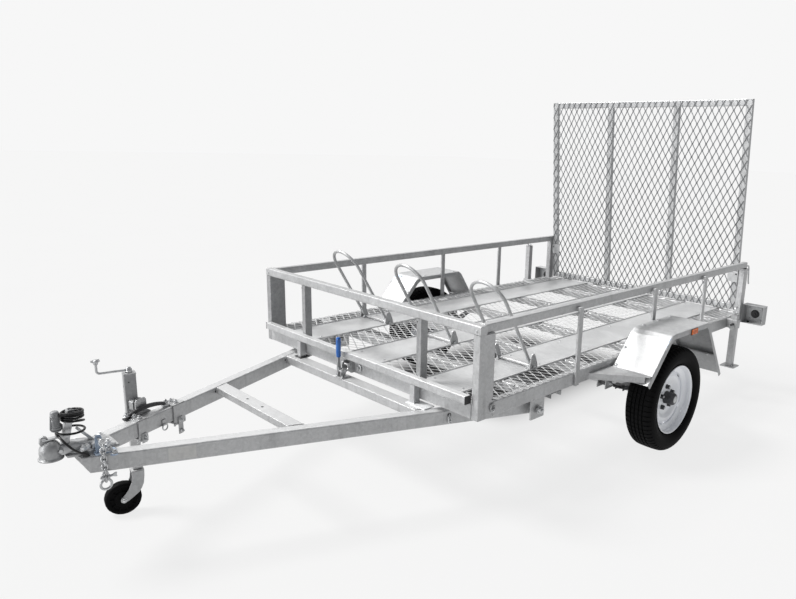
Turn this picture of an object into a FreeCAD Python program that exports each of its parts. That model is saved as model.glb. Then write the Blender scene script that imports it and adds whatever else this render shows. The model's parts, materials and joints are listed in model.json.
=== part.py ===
import FreeCAD, Part
import math
import os
import Sketcher

V = FreeCAD.Vector
doc = FreeCAD.newDocument("TiltingTrailer")
sheet = doc.addObject("Spreadsheet::Sheet", "Sheet")

# ---------------------------------------------------------------- dimensions
# All lengths in millimetres, angles in degrees.  X runs forward from the
# middle of the bed, Y to the trailer's left, Z up from the ground.
DIMS = [
    # placing of the bed's middle in the part's frame
    ("xo", -626.5),
    # bed frame
    ("bedLen", 2500.0), ("bedWid", 1560.0),
    ("railBot", 446.0), ("railTop", 509.0), ("railThk", 38.0),
    ("wall", 3.0), ("endRailW", 40.0),
    ("bearerW", 50.0), ("bearerH", 40.0), ("bearerStep", 500.0),
    ("meshT", 1.5),
    ("chanW", 236.0), ("chanStep", 515.0), ("chanT", 3.0), ("chanLip", 6.0),
    ("subX", 696.0), ("subW", 76.0), ("subBot", 423.0),
    # cage
    ("cageTop", 833.0), ("topBar", 38.0), ("topBarW", 32.0), ("topIn", 10.0),
    ("postX", 90.0), ("postY", 38.0), ("rearPostX", 50.0),
    ("sidePostW", 30.0), ("sidePostT", 10.0), ("sidePostTop", 815.0),
    ("sidePostA", 593.0), ("sidePostB", -70.0), ("sidePostC", -640.0),
    ("frontPostY", 430.0), ("frontPostW", 30.0), ("frontPostD", 40.0),
    ("lowTop", 548.0), ("lowBar", 34.0), ("lowLen", 1476.0),
    ("footBot", 432.0), ("footX", 75.0), ("footY", 30.0),
    # wheel hoops
    ("hoopX", 715.0), ("hoopR", 100.0), ("hoopBar", 16.0),
    ("hoopLean", 31.3), ("hoopLeg", 378.0),
    ("hoopFootH", 70.0), ("hoopFootW", 55.0), ("hoopFootT", 6.0),
    # ramp
    ("rampW", 1464.0), ("rampLen", 1330.0), ("rampLean", 5.58),
    ("rampZ", 496.0), ("rampX", -1271.0), ("rampBar", 40.0), ("rampThk", 25.0),
    ("rampUp", 245.0), ("rampMesh", 1.2),
    ("hingeR", 9.0), ("hingeLen", 60.0),
    # drawbar
    ("dbTop", 428.0), ("dbBot", 364.0), ("dbW", 50.0), ("dbWall", 4.0),
    ("dbY", 571.0), ("dbSlope", 0.41827), ("dbFrom", 815.0), ("dbTo", 2462.0),
    ("crossFX", 1768.0), ("crossFW", 60.0), ("crossRX", 1288.0),
    ("crossRW", 64.0), ("crossFH", 30.0), ("crossRH", 40.0),
    ("pivX", 852.0), ("pivZ", 394.0), ("pivR", 9.9), ("pivBore", 10.0),
    ("pivPlate", 8.0), ("pivPlateW", 90.0), ("pivBot", 352.0),
    # coupling
    ("coupZ", 452.0), ("ballX", 2535.0), ("ballR", 25.4),
    # running gear
    ("axX", -30.0), ("tyreR", 273.0), ("tyreW", 155.0), ("wheelY", 988.0),
    ("rimR", 178.0), ("axleSq", 40.0), ("springY", 761.0), ("springW", 40.0),
    ("springHalf", 330.0), ("springEyeZ", 392.0),
    # mudguards
    ("mgX", -40.0), ("mgTop", 652.0), ("mgIn", 792.0), ("mgOut", 1010.0),
    ("mgHalf", 205.0), ("mgT", 3.0), ("mgLip", 25.0),
    # drop legs
    ("legX", -1035.0), ("legY", 823.0), ("legSq", 38.0), ("legLen", 330.0),
    ("legLow", 205.0), ("legTravel", 225.0), ("sleeveW", 4.0),
    # jockey stand
    ("jX", 2178.0), ("jY", 238.0), ("jOut", 22.5), ("jWall", 3.0), ("jIn", 18.9),
    ("jTop", 595.0), ("jBot", 330.0), ("jInBot", 190.0), ("jInTop", 462.0),
    ("jPivZ", 466.0), ("jAngle", 22.698),
    ("jwR", 69.0), ("jwW", 40.0), ("jTrail", 61.0), ("jSwivel", -12.0),
    # plug lead
    ("leadR", 4.0), ("coilX", 2468.0), ("coilR", 44.0), ("coilZ", 506.0), ("pitch", 7.6),
    ("hankX", 2458.0), ("hankR", 34.0), ("hankZ", 555.0),
    ("plugX", 2512.0), ("plugY", 6.0), ("plugZ", 521.0),
]
for row, (name, val) in enumerate(DIMS, 1):
    sheet.set("A%d" % row, name)
    sheet.set("B%d" % row, "%.6g" % val)
    sheet.setAlias("B%d" % row, name)
doc.recompute()


class Q:
    """A length that knows its value and the sheet expression behind it."""

    def __init__(self, v, t=None):
        self.v = float(v)
        self.t = t if t is not None else "%.9g" % float(v)

    @staticmethod
    def of(o):
        return o if isinstance(o, Q) else Q(o)

    def __add__(self, o):
        o = Q.of(o)
        return Q(self.v + o.v, "(%s + %s)" % (self.t, o.t))

    def __radd__(self, o):
        return Q.of(o) + self

    def __sub__(self, o):
        o = Q.of(o)
        return Q(self.v - o.v, "(%s - %s)" % (self.t, o.t))

    def __rsub__(self, o):
        return Q.of(o) - self

    def __mul__(self, o):
        o = Q.of(o)
        return Q(self.v * o.v, "(%s * %s)" % (self.t, o.t))

    def __rmul__(self, o):
        return Q.of(o) * self

    def __truediv__(self, o):
        o = Q.of(o)
        return Q(self.v / o.v, "(%s / %s)" % (self.t, o.t))

    def __neg__(self):
        return Q(-self.v, "(0 - %s)" % self.t)


D = {n: Q(v, "Sheet." + n) for n, v in DIMS}


def bind(obj, prop, q):
    q = Q.of(q)
    if "Sheet." in q.t:
        obj.setExpression(prop, q.t)
    else:
        tgt = obj
        if prop.startswith("Placement.Base."):
            pl = obj.Placement
            b = pl.Base
            setattr(b, prop[-1], q.v)
            pl.Base = b
            obj.Placement = pl
        else:
            setattr(tgt, prop, q.v)


def place(obj, x, y, z):
    bind(obj, "Placement.Base.x", x)
    bind(obj, "Placement.Base.y", y)
    bind(obj, "Placement.Base.z", z)


COUNT = [0]


def nm(stem):
    COUNT[0] += 1
    return "%s_%03d" % (stem, COUNT[0])


def box(x0, x1, y0, y1, z0, z1):
    """A block between two corners."""
    x0, x1, y0, y1, z0, z1 = [Q.of(a) for a in (x0, x1, y0, y1, z0, z1)]
    o = doc.addObject("Part::Box", nm("Block"))
    bind(o, "Length", x1 - x0)
    bind(o, "Width", y1 - y0)
    bind(o, "Height", z1 - z0)
    place(o, x0, y0, z0)
    return o


AX = {"z": FreeCAD.Rotation(), "x": FreeCAD.Rotation(V(0, 1, 0), 90),
      "y": FreeCAD.Rotation(V(1, 0, 0), -90)}


def cyl(axis, r, length, x, y, z):
    """A round bar from (x, y, z) along +axis."""
    o = doc.addObject("Part::Cylinder", nm("Round"))
    bind(o, "Radius", r)
    bind(o, "Height", length)
    o.Placement = FreeCAD.Placement(V(), AX[axis])
    place(o, x, y, z)
    return o


def torus(axis, r1, r2, x, y, z):
    o = doc.addObject("Part::Torus", nm("Ring"))
    bind(o, "Radius1", r1)
    bind(o, "Radius2", r2)
    o.Placement = FreeCAD.Placement(V(), AX[axis])
    place(o, x, y, z)
    return o


def cut(a, b):
    o = doc.addObject("Part::Cut", nm("Cut"))
    o.Base = a
    o.Tool = b
    return o


def common(a, b):
    o = doc.addObject("Part::Common", nm("Common"))
    o.Base = a
    o.Tool = b
    return o


def fuse(*objs):
    objs = list(objs)
    if len(objs) == 1:
        return objs[0]
    o = doc.addObject("Part::MultiFuse", nm("Fuse"))
    o.Shapes = objs
    return o


NODES = []


def node(label, obj, bound=True):
    """Names a finished sub-part and moves it into the part's frame."""
    if obj.TypeId in ("Part::Box", "Part::Cylinder", "Part::Torus"):
        obj = fuse_one(obj)
    obj.Label = label
    if bound:
        obj.setExpression("Placement.Base.x", "Sheet.xo")
    NODES.append(obj)
    return obj


def fuse_one(obj):
    o = doc.addObject("Part::Compound", nm("Group"))
    o.Links = [obj]
    return o


def group(*objs):
    """Solids of one sub-part that do not touch."""
    o = doc.addObject("Part::Compound", nm("Group"))
    o.Links = list(objs)
    return o


# ------------------------------------------------------- sketches and bodies
def plane_of(body, role):
    for f in body.Origin.OriginFeatures:
        if f.Role == role:
            return f
    raise RuntimeError(role)


def sketch(body, role, offset=None):
    sk = body.newObject("Sketcher::SketchObject", nm("Sketch"))
    sk.AttachmentSupport = [(plane_of(body, role), "")]
    sk.MapMode = "FlatFace"
    if offset is not None:
        q = Q.of(offset)
        if "Sheet." in q.t:
            sk.setExpression("AttachmentOffset.Base.z", q.t)
        else:
            sk.AttachmentOffset = FreeCAD.Placement(V(0, 0, q.v), FreeCAD.Rotation())
    return sk


def poly(sk, pts):
    """A closed outline whose corners are held by distances from the origin."""
    pts = [(Q.of(a), Q.of(b)) for a, b in pts]
    n = len(pts)
    base = sk.GeometryCount
    for i in range(n):
        a, b = pts[i], pts[(i + 1) % n]
        sk.addGeometry(Part.LineSegment(V(a[0].v, a[1].v, 0), V(b[0].v, b[1].v, 0)), False)
    for i in range(n):
        sk.addConstraint(Sketcher.Constraint("Coincident", base + i, 2, base + (i + 1) % n, 1))
    for i in range(n):
        for kind, q in (("DistanceX", pts[i][0]), ("DistanceY", pts[i][1])):
            c = sk.addConstraint(Sketcher.Constraint(kind, -1, 1, base + i, 1, q.v))
            if "Sheet." in q.t:
                sk.setExpression("Constraints[%d]" % c, q.t)


def ring(sk, r, x=0.0, y=0.0):
    r, x, y = Q.of(r), Q.of(x), Q.of(y)
    g = sk.addGeometry(Part.Circle(V(x.v, y.v, 0), V(0, 0, 1), r.v), False)
    for kind, args, q in (("Radius", (g,), r), ("DistanceX", (-1, 1, g, 3), x), ("DistanceY", (-1, 1, g, 3), y)):
        c = sk.addConstraint(Sketcher.Constraint(kind, *(list(args) + [q.v])))
        if "Sheet." in q.t:
            sk.setExpression("Constraints[%d]" % c, q.t)


def new_body(stem):
    return doc.addObject("PartDesign::Body", nm(stem))


def pad(body, sk, length, midplane=False, reverse=False):
    p = body.newObject("PartDesign::Pad", nm("Pad"))
    p.Profile = sk
    bind(p, "Length", length)
    p.Midplane = midplane
    p.Reversed = reverse
    body.Tip = p
    return p


def revolve(body, sk, axis="V_Axis"):
    r = body.newObject("PartDesign::Revolution", nm("Revolution"))
    r.Profile = sk
    r.ReferenceAxis = (sk, [axis])
    r.Angle = 360.0
    body.Tip = r
    return r


def prism(role, pts, lo, hi, holes=()):
    """A body padded from an outline on a base plane between two offsets.

    XY_Plane: outline (x, y), pad along +Z.  XZ_Plane: outline (x, z), the
    plane's normal is -Y.  YZ_Plane: outline (y, z), pad along +X.
    """
    b = new_body("Profile")
    lo, hi = Q.of(lo), Q.of(hi)
    if role == "XZ_Plane":
        sk = sketch(b, role, -hi)
    else:
        sk = sketch(b, role, lo)
    poly(sk, pts)
    for h in holes:
        if len(h) == 3 and not isinstance(h[0], tuple):
            ring(sk, h[0], h[1], h[2])
        else:
            poly(sk, h)
    pad(b, sk, hi - lo)
    return b


def tube_x(x0, x1, y0, y1, z0, z1, w):
    """Rectangular hollow section along X, open at its ends."""
    return cut(box(x0, x1, y0, y1, z0, z1),
               box(Q.of(x0) - 5, Q.of(x1) + 5, Q.of(y0) + w, Q.of(y1) - w, Q.of(z0) + w, Q.of(z1) - w))


def tube_y(x0, x1, y0, y1, z0, z1, w):
    return cut(box(x0, x1, y0, y1, z0, z1),
               box(Q.of(x0) + w, Q.of(x1) - w, Q.of(y0) - 5, Q.of(y1) + 5, Q.of(z0) + w, Q.of(z1) - w))


def tube_z(x0, x1, y0, y1, z0, z1, w):
    return cut(box(x0, x1, y0, y1, z0, z1),
               box(Q.of(x0) + w, Q.of(x1) - w, Q.of(y0) + w, Q.of(y1) - w, Q.of(z0) - 5, Q.of(z1) + 5))


def sgn(side, q):
    return q if side > 0 else -Q.of(q)


def span(side, a, b):
    """Lower and upper bound of a Y range mirrored to one side."""
    return (a, b) if side > 0 else (-Q.of(b), -Q.of(a))


# =================================================================== the bed
hl = D["bedLen"] / 2
hw = D["bedWid"] / 2
w = D["wall"]

# long side rails, hollow sections under the edges of the floor
rails = []
for s in (1, -1):
    y0, y1 = span(s, hw - D["railThk"], hw)
    rails.append(tube_x(-hl + D["rearPostX"], hl - D["postX"], y0, y1, D["railBot"], D["railTop"], w))
node("bed_side_rails", group(*rails))

# front and rear cross members between the corner posts
inn = hw - D["postY"]
ends = [tube_y(hl - D["endRailW"], hl, -inn, inn, D["railBot"], D["railTop"], w),
        tube_y(-hl, -hl + D["endRailW"], -inn, inn, D["railBot"], D["railTop"], w)]
node("bed_end_rails", group(*ends))

# floor bearers between the side rails
bear = []
yi = hw - D["railThk"]
for k in (-2, -1, 0, 1, 2):
    xc = D["bearerStep"] * k * 0.92
    bear.append(tube_y(xc - D["bearerW"] / 2, xc + D["bearerW"] / 2, -yi, yi,
                       D["railTop"] - D["bearerH"], D["railTop"], w))
node("floor_bearers", group(*bear))

# deep cross member slung under the rails behind the tilt pivot
node("under_crossmember", cut(
    box(D["subX"], D["subX"] + D["subW"], -hw, hw, D["subBot"], D["railBot"]),
    box(D["subX"] + w, D["subX"] + D["subW"] - w, -hw - 5, hw + 5, D["subBot"] - 5, D["railBot"] - w)))

# expanded-metal floor, one sheet over the frame
fl = D["railTop"]
node("floor_mesh", fuse(
    box(-hl + D["rearPostX"], hl - D["postX"], -hw + 2, hw - 2, fl, fl + D["meshT"]),
    box(-hl, hl - D["frontPostD"], -hw + D["postY"], hw - D["postY"], fl, fl + D["meshT"])))

# three wheel channels lying on the floor
chans = []
for k in (-1, 0, 1):
    yc = D["chanStep"] * k
    ca, cb = yc - D["chanW"] / 2, yc + D["chanW"] / 2
    cz0 = fl + D["meshT"]
    chans.append(fuse(
        box(-hl + 26, hl - D["frontPostD"], ca, cb, cz0, cz0 + D["chanT"]),
        box(-hl + 26, hl - D["frontPostD"], ca, ca + 3, cz0, cz0 + D["chanLip"]),
        box(-hl + 26, hl - D["frontPostD"], cb - 3, cb, cz0, cz0 + D["chanLip"])))
node("wheel_channels", group(*chans))

# ------------------------------------------------------------------ the cage
ct, tb = D["cageTop"], D["topBar"]
sides = []
for s in (1, -1):
    y0, y1 = span(s, hw - D["topIn"] - D["topBarW"], hw - D["topIn"])
    sides.append(tube_x(-hl, hl - tb, y0, y1, ct - tb, ct, w))
node("cage_top_rails", fuse(sides[0], sides[1], tube_y(hl - tb, hl, -hw, hw, ct - tb, ct, w)))

posts = []
for s in (1, -1):
    y0, y1 = span(s, hw - D["postY"], hw)
    posts.append(tube_z(hl - D["postX"], hl, y0, y1, D["railBot"], ct - tb, w))
    posts.append(tube_z(-hl, -hl + D["rearPostX"], y0, y1, D["railBot"], ct - tb, w))
node("corner_posts", group(*posts))

sp = []
for s in (1, -1):
    for key in ("sidePostA", "sidePostB", "sidePostC"):
        xc = D[key]
        y0, y1 = span(s, hw, hw + D["sidePostT"])
        y2, y3 = span(s, hw - D["topIn"], hw)
        a = box(xc - D["sidePostW"] / 2, xc + D["sidePostW"] / 2, y0, y1, D["railBot"], D["sidePostTop"])
        b = box(xc - D["sidePostW"] / 2, xc + D["sidePostW"] / 2, y2, y3, ct - tb, D["sidePostTop"])
        sp.append(fuse(a, b))
node("side_posts", group(*sp))

fp = []
for s in (1, -1):
    y0, y1 = span(s, D["frontPostY"] - D["frontPostW"] / 2, D["frontPostY"] + D["frontPostW"] / 2)
    fp.append(tube_z(hl - D["frontPostD"], hl, y0, y1, fl, ct - tb, w))
node("front_posts", group(*fp))

ll = D["lowLen"] / 2
# feet under the front of the bed, which come down on the drawbar
ft = []
for s in (1, -1):
    y0, y1 = span(s, D["frontPostY"] - D["footY"] / 2, D["frontPostY"] + D["footY"] / 2)
    ft.append(box(hl, hl + D["lowBar"], y0, y1, D["footBot"] + 1, D["lowTop"] - D["lowBar"]))
node("front_lower_rail", fuse(
    tube_y(hl, hl + D["lowBar"], -ll, ll, D["lowTop"] - D["lowBar"], D["lowTop"], w), *ft))

# ----------------------------------------------------------------- the hoops
# bent round bar on two foot brackets, leaning forward over each channel
hoops = []
lean = math.radians(D["hoopLean"].v)
for k in (-1, 0, 1):
    yc = D["chanStep"].v * k
    r = D["hoopR"].v
    fz = fl.v + D["meshT"].v + D["chanT"].v + D["hoopBar"].v / 2
    fx = D["hoopX"].v
    sx, sz = math.sin(lean), math.cos(lean)
    Lg = D["hoopLeg"].v

    def up(a, y):
        return V(fx + sx * a, yc + y, fz + sz * a)
    e = [Part.LineSegment(up(0, -r), up(Lg, -r)).toShape(),
         Part.Arc(up(Lg, -r), up(Lg + r, 0), up(Lg, r)).toShape(),
         Part.LineSegment(up(Lg, r), up(0, r)).toShape()]
    path = Part.Wire(e)
    prof = Part.Wire([Part.Circle(up(0, -r), V(sx, 0, sz), D["hoopBar"].v / 2).toShape()])
    bar = path.makePipeShell([prof], True, False)
    base = Part.makeCylinder(D["hoopBar"].v / 2, 2 * r + 18, V(fx, yc - r - 9, fz), V(0, 1, 0))
    sh = bar.fuse(base)
    hoops.append(sh)
hp = doc.addObject("Part::Feature", "HoopBars")
hp.Shape = Part.makeCompound(hoops)
node("wheel_hoops", hp)

hf = []
hz = fl + D["meshT"] + D["chanT"]
for k in (-1, 0, 1):
    for s in (1, -1):
        yc = D["chanStep"] * k + D["hoopR"] * s
        y0, y1 = (yc + 9, yc + 9 + D["hoopFootT"]) if s > 0 else (yc - 9 - D["hoopFootT"], yc - 9)
        hf.append(box(D["hoopX"] - D["hoopFootW"] / 2, D["hoopX"] + D["hoopFootW"] / 2, y0, y1, hz, hz + D["hoopFootH"]))
node("hoop_brackets", group(*hf))

# --------------------------------------------------------------- mudguards
mg = []
top, t = D["mgTop"], D["mgT"]


def offset_line(pts, d):
    """The same open line moved by d to its right-hand side, mitred."""
    res = []
    for i, (x, z) in enumerate(pts):
        ns = []
        for a, b in ((i - 1, i), (i, i + 1)):
            if a >= 0 and b < len(pts):
                ux, uz = pts[b][0] - pts[a][0], pts[b][1] - pts[a][1]
                ln = math.hypot(ux, uz)
                ns.append((uz / ln, -ux / ln))
        nx = sum(n[0] for n in ns) / len(ns)
        nz = sum(n[1] for n in ns) / len(ns)
        k = d / (nx * nx + nz * nz)
        res.append((x + nx * k, z + nz * k))
    return res


# outer line of the guard from its rear end over the wheel to its front end
GUARD = [(-467, 330), (-263, 632), (-237, 652), (107, 652), (137, 648), (163, 630), (336, 440)]


def guard_q(pts):
    return [(D["mgX"] + (x + 40.0), top + (z - 652.0)) for x, z in pts]


for s in (1, -1):
    y0, y1 = span(s, D["mgIn"], D["mgOut"])
    sheet_b = prism("XZ_Plane", guard_q(GUARD + offset_line(GUARD, t.v)[::-1]), y0, y1)
    lipline = guard_q(GUARD + offset_line(GUARD, D["mgLip"].v)[::-1])
    lo, hi = span(s, D["mgOut"] - t, D["mgOut"])
    lo2, hi2 = span(s, D["mgIn"], D["mgIn"] + t)
    mg.append(fuse(sheet_b, prism("XZ_Plane", lipline, lo, hi), prism("XZ_Plane", lipline, lo2, hi2)))
node("mudguard_left", group(mg[0]))
node("mudguard_right", group(mg[1]))

# plates that carry the mudguards off the side rails
st = []
for s in (1, -1):
    sg = 1 if s > 0 else -1
    y0, y1 = span(s, hw, D["mgOut"] - 5)
    # step plate ahead of the guard, with a flange down its front edge
    pts = [(Q(486), sgn(s, hw)), (Q(320), sgn(s, D["mgOut"] - 5)), (Q(300.5), sgn(s, D["mgOut"] - 5)), (Q(300.5), sgn(s, hw))]
    edge = [(Q(486), sgn(s, hw)), (Q(333), sgn(s, Q(987.4))), (Q(329), sgn(s, Q(987.4))), (Q(482), sgn(s, hw))]
    step = fuse(prism("XY_Plane", pts, 477, 480), prism("XY_Plane", edge, 450, 480))
    st.append(cut(step, mg[0 if s > 0 else 1]))
    # bar under the rear slope, and the packer between guard and side post
    st.append(cut(box(-378, -354, y0, y1, 452, 458), mg[0 if s > 0 else 1]))
    y2, y3 = span(s, hw + D["sidePostT"], D["mgIn"])
    st.append(box(D["sidePostB"] - 13, D["sidePostB"] + 13, y2, y3, top - 23, top - 3))
node("mudguard_stays", group(*st))

# ----------------------------------------------------------------- lighting
lb, lampn = [], []
for s in (1, -1):
    y0, y1 = span(s, hw, 912)
    plate = cut(box(-1300, -1238, y0, y1, 446, 566), box(-1297, -1230, span(s, hw + 3, 909)[0], span(s, hw + 3, 909)[1], 449, 563))
    lb.append(plate)
    y2, y3 = span(s, hw + 16, 896)
    lampn.append(box(-1318, -1300, y2, y3, 458, 554))
node("tail_light_boards", group(*lb))
node("tail_lamps", group(*lampn))

# --------------------------------------------------------------- running gear
ax, r0 = D["axX"], D["tyreR"]
a2 = D["axleSq"] / 2
stub = 828.0
node("axle_beam", fuse(
    box(ax - a2, ax + a2, -stub, stub, r0 - a2, r0 + a2),
    cyl("y", 15.9, 110, ax, stub, r0),
    cyl("y", 15.9, 110, ax, -stub - 110, r0)))

sprg = []
for s in (1, -1):
    y0, y1 = span(s, D["springY"] - D["springW"] / 2, D["springY"] + D["springW"] / 2)
    zc = r0 + a2
    h = D["springHalf"]
    ez = D["springEyeZ"]
    pts = [(ax - h, ez - 4), (ax - h * 0.5, zc + 16), (ax - 60, zc), (ax + 60, zc), (ax + h * 0.5, zc + 16), (ax + h, ez - 4),
           (ax + h, ez + 4), (ax + h * 0.5, zc + 38), (ax + 60, zc + 30), (ax - 60, zc + 30), (ax - h * 0.5, zc + 38), (ax - h, ez + 4)]
    leaf = prism("XZ_Plane", pts, y0, y1)
    eye1 = cyl("y", 16, D["springW"], ax + h + 10, y0, ez)
    eye2 = cyl("y", 16, D["springW"], ax - h - 10, y0, ez)
    plate = box(ax - 50, ax + 50, y0 - 6, y1 + 6, zc + 30, zc + 38)
    sprg.append(fuse(leaf, eye1, eye2, plate))
node("leaf_springs", group(*sprg))

hang = []
for s in (1, -1):
    y0, y1 = span(s, D["springY"] - D["springW"] / 2, D["springY"] + D["springW"] / 2)
    for sg in (1, -1):
        xc = ax + (D["springHalf"] + 10) * sg
        p0 = box(xc - 30, xc + 30, y0 - 6, y0 - 1, D["springEyeZ"] - 26, D["railBot"])
        p1 = box(xc - 30, xc + 30, y1 + 1, y1 + 6, D["springEyeZ"] - 26, D["railBot"])
        hang.append(fuse(p0, p1, box(xc - 30, xc + 30, y0 - 6, y1 + 6, D["railBot"] - 5, D["railBot"])))
node("spring_hangers", group(*hang))

# wheels: tyre, pressed steel rim and hub
tw = D["tyreW"]
for s, side in ((1, "left"), (-1, "right")):
    yo = D["wheelY"]
    yi2 = yo - tw
    R, rr = D["tyreR"], D["rimR"]
    b = new_body("Tyre")
    sk = sketch(b, "YZ_Plane")
    pr = [(yo - 24, rr - 6), (yo - 24, rr + 2), (yo - 6, rr + 22), (yo, rr + 44), (yo - 4, R - 22), (yo - 20, R - 5), (yo - 34, R),
          (yi2 + 34, R), (yi2 + 20, R - 5), (yi2 + 4, R - 22), (yi2, rr + 44), (yi2 + 6, rr + 22), (yi2 + 24, rr + 2), (yi2 + 24, rr - 6),
          (yi2 + 40, rr - 6), (yi2 + 38, rr + 6), (yi2 + 18, rr + 26), (yi2 + 12, rr + 44), (yi2 + 16, R - 28), (yi2 + 34, R - 13),
          (yo - 34, R - 13), (yo - 16, R - 28), (yo - 12, rr + 44), (yo - 18, rr + 26), (yo - 38, rr + 6), (yo - 40, rr - 6)]
    pr = [(sgn(s, a), q) for a, q in pr]
    poly(sk, pr)
    rv = revolve(b, sk, "H_Axis")
    b.setExpression("Placement.Base.z", "Sheet.tyreR")
    b.Label = "tyre_" + side
    b.setExpression("Placement.Base.x", "(Sheet.xo + Sheet.axX)")
    NODES.append(b)
    b = new_body("Rim")
    sk = sketch(b, "YZ_Plane")
    # flange, bead seat, drop centre and dished disc in one section
    sec = [(yo - 14, rr), (yo - 23, rr), (yo - 23, rr - 6.3), (yo - 45, rr - 6.3), (yo - 58, rr - 34), (yo - 106, rr - 34),
           (yo - 120, rr - 6.3), (yi2 + 23, rr - 6.3), (yi2 + 23, rr), (yi2 + 14, rr), (yi2 + 14, rr - 10.3),
           (yo - 122, rr - 10.3), (yo - 108, rr - 38), (yo - 64, rr - 38), (yo - 56.5, 112), (yo - 74.2, 84), (yo - 74.2, 32),
           (yo - 68, 32), (yo - 68, 88), (yo - 50, 114), (yo - 57, rr - 38), (yo - 55, rr - 38), (yo - 42, rr - 10.3), (yo - 14, rr - 10.3)]
    poly(sk, [(sgn(s, a), q) for a, q in sec])
    revolve(b, sk, "H_Axis")
    b.Label = "rim_" + side
    b.setExpression("Placement.Base.z", "Sheet.tyreR")
    b.setExpression("Placement.Base.x", "(Sheet.xo + Sheet.axX)")
    NODES.append(b)
    b = new_body("Hub")
    sk = sketch(b, "YZ_Plane")
    sec = [(yo - 13, 0), (yo - 13, 20), (yo - 18, 28), (yo - 30, 31.5), (yo - 74.2, 31.5), (yo - 74.2, 62), (yo - 84, 62), (yo - 88, 40),
           (yo - 110, 34), (yo - 110, 16), (yo - 40, 16), (yo - 40, 0)]
    poly(sk, [(sgn(s, a), q) for a, q in sec])
    revolve(b, sk, "H_Axis")
    b.Label = "hub_" + side
    b.setExpression("Placement.Base.z", "Sheet.tyreR")
    b.setExpression("Placement.Base.x", "(Sheet.xo + Sheet.axX)")
    NODES.append(b)

# ------------------------------------------------------------------ drop legs
sl = []
lx, ly, lq = D["legX"], D["legY"], D["legSq"] / 2
for s in (1, -1):
    yc = sgn(s, ly)
    o = lq + 0.6
    ow = o + D["sleeveW"]
    a = cut(box(lx - ow, lx + ow, yc - ow, yc + ow, D["railBot"] + 4, D["railTop"] - 4),
            box(lx - o, lx + o, yc - o, yc + o, D["railBot"] - 20, D["railTop"] + 6))
    y0, y1 = (hw, yc - ow) if s > 0 else (yc + ow, -hw)
    sl.append(fuse(a, box(lx - 20, lx + 20, y0, y1, D["railBot"] + 4, D["railTop"] - 4)))
node("drop_leg_sleeves", group(*sl))
for s, side, z0 in ((1, "left", D["legLow"]), (-1, "right", D["legLow"] + D["legTravel"])):
    yc = sgn(s, ly)
    leg = tube_z(lx - lq, lx + lq, yc - lq, yc + lq, z0 + 5, z0 + D["legLen"], w)
    foot = box(lx - 45, lx + 45, yc - 45, yc + 45, z0, z0 + 5)
    cap = box(lx - lq, lx + lq, yc - lq, yc + lq, z0 + D["legLen"] - 2, z0 + D["legLen"] + 4)
    rg = torus("y", 22, 4, lx, yc, z0 + D["legLen"] + 26)
    node("drop_leg_" + side, fuse(leg, foot, cap, rg))

# ------------------------------------------------------- tilt pivot brackets
# ears under the side rails that straddle the rear ends of the drawbar rails
pb = []
px, pz = D["pivX"], D["pivZ"]
ycen = D["dbY"] - D["dbSlope"] * (px - hl) - 27.1
for s in (1, -1):
    yo0, yo1 = span(s, ycen + 52, ycen + 52 + D["pivPlate"])
    yi0, yi1 = span(s, ycen - 52 - D["pivPlate"], ycen - 52)
    p = [box(px - D["pivPlateW"] / 2, px + D["pivPlateW"] / 2, a, b, D["pivBot"], D["railBot"]) for a, b in ((yo0, yo1), (yi0, yi1))]
    y0, y1 = span(s, ycen - 70, ycen + 70)
    bolt = cyl("y", D["pivR"], 140, px, y0, pz)
    pb.append(fuse(p[0], p[1], bolt))
# cross plates over the ears, joining the inner ears to the frame
for k, s in enumerate((1, -1)):
    y0, y1 = span(s, 600, hw - D["railThk"])
    pb[k] = fuse(pb[k], tube_y(px - 25, px + 25, y0, y1, D["railBot"], D["railBot"] + 20, w))
node("tilt_pivot_brackets", group(*pb))

# ------------------------------------------------------------- ramp hinge lugs
rh = []
rx, rz = D["rampX"], D["rampZ"]
for s in (1, -1):
    for yy in (640, 250):
        y0, y1 = span(s, yy, yy + D["hingeLen"])
        rh.append(fuse(cyl("y", D["hingeR"], D["hingeLen"], rx, y0, rz),
                       box(rx, -hl, y0, y1, rz - 8, rz + 2)))
node("ramp_hinge_knuckles", group(*rh))

# lock pins through the rear posts, with hanging tails
lp = []
for s in (1, -1):
    a = cyl("x", 6, 65, -1315, sgn(s, hw - 19), 795)
    b = cyl("z", 5, 80, -1310, sgn(s, hw - 19), 716)
    lp.append(fuse(a, b))
node("ramp_lock_pins", group(*lp))

# ======================================================================= ramp
# built upright in the plane of its hinge and leaned forward by its angle
ra = []
RL, RW, RB, RT = D["rampLen"], D["rampW"], D["rampBar"], D["rampThk"]


def lean_node(label, obj):
    """Leans a ramp piece, drawn upright at its hinge, and puts it in place."""
    obj.Label = label
    obj.Placement = FreeCAD.Placement(V(0, 0, 0), FreeCAD.Rotation(V(0, 1, 0), D["rampLean"].v))
    obj.setExpression("Placement.Base.x", "(Sheet.xo + Sheet.rampX)")
    obj.setExpression("Placement.Base.z", "Sheet.rampZ")
    NODES.append(obj)


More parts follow.
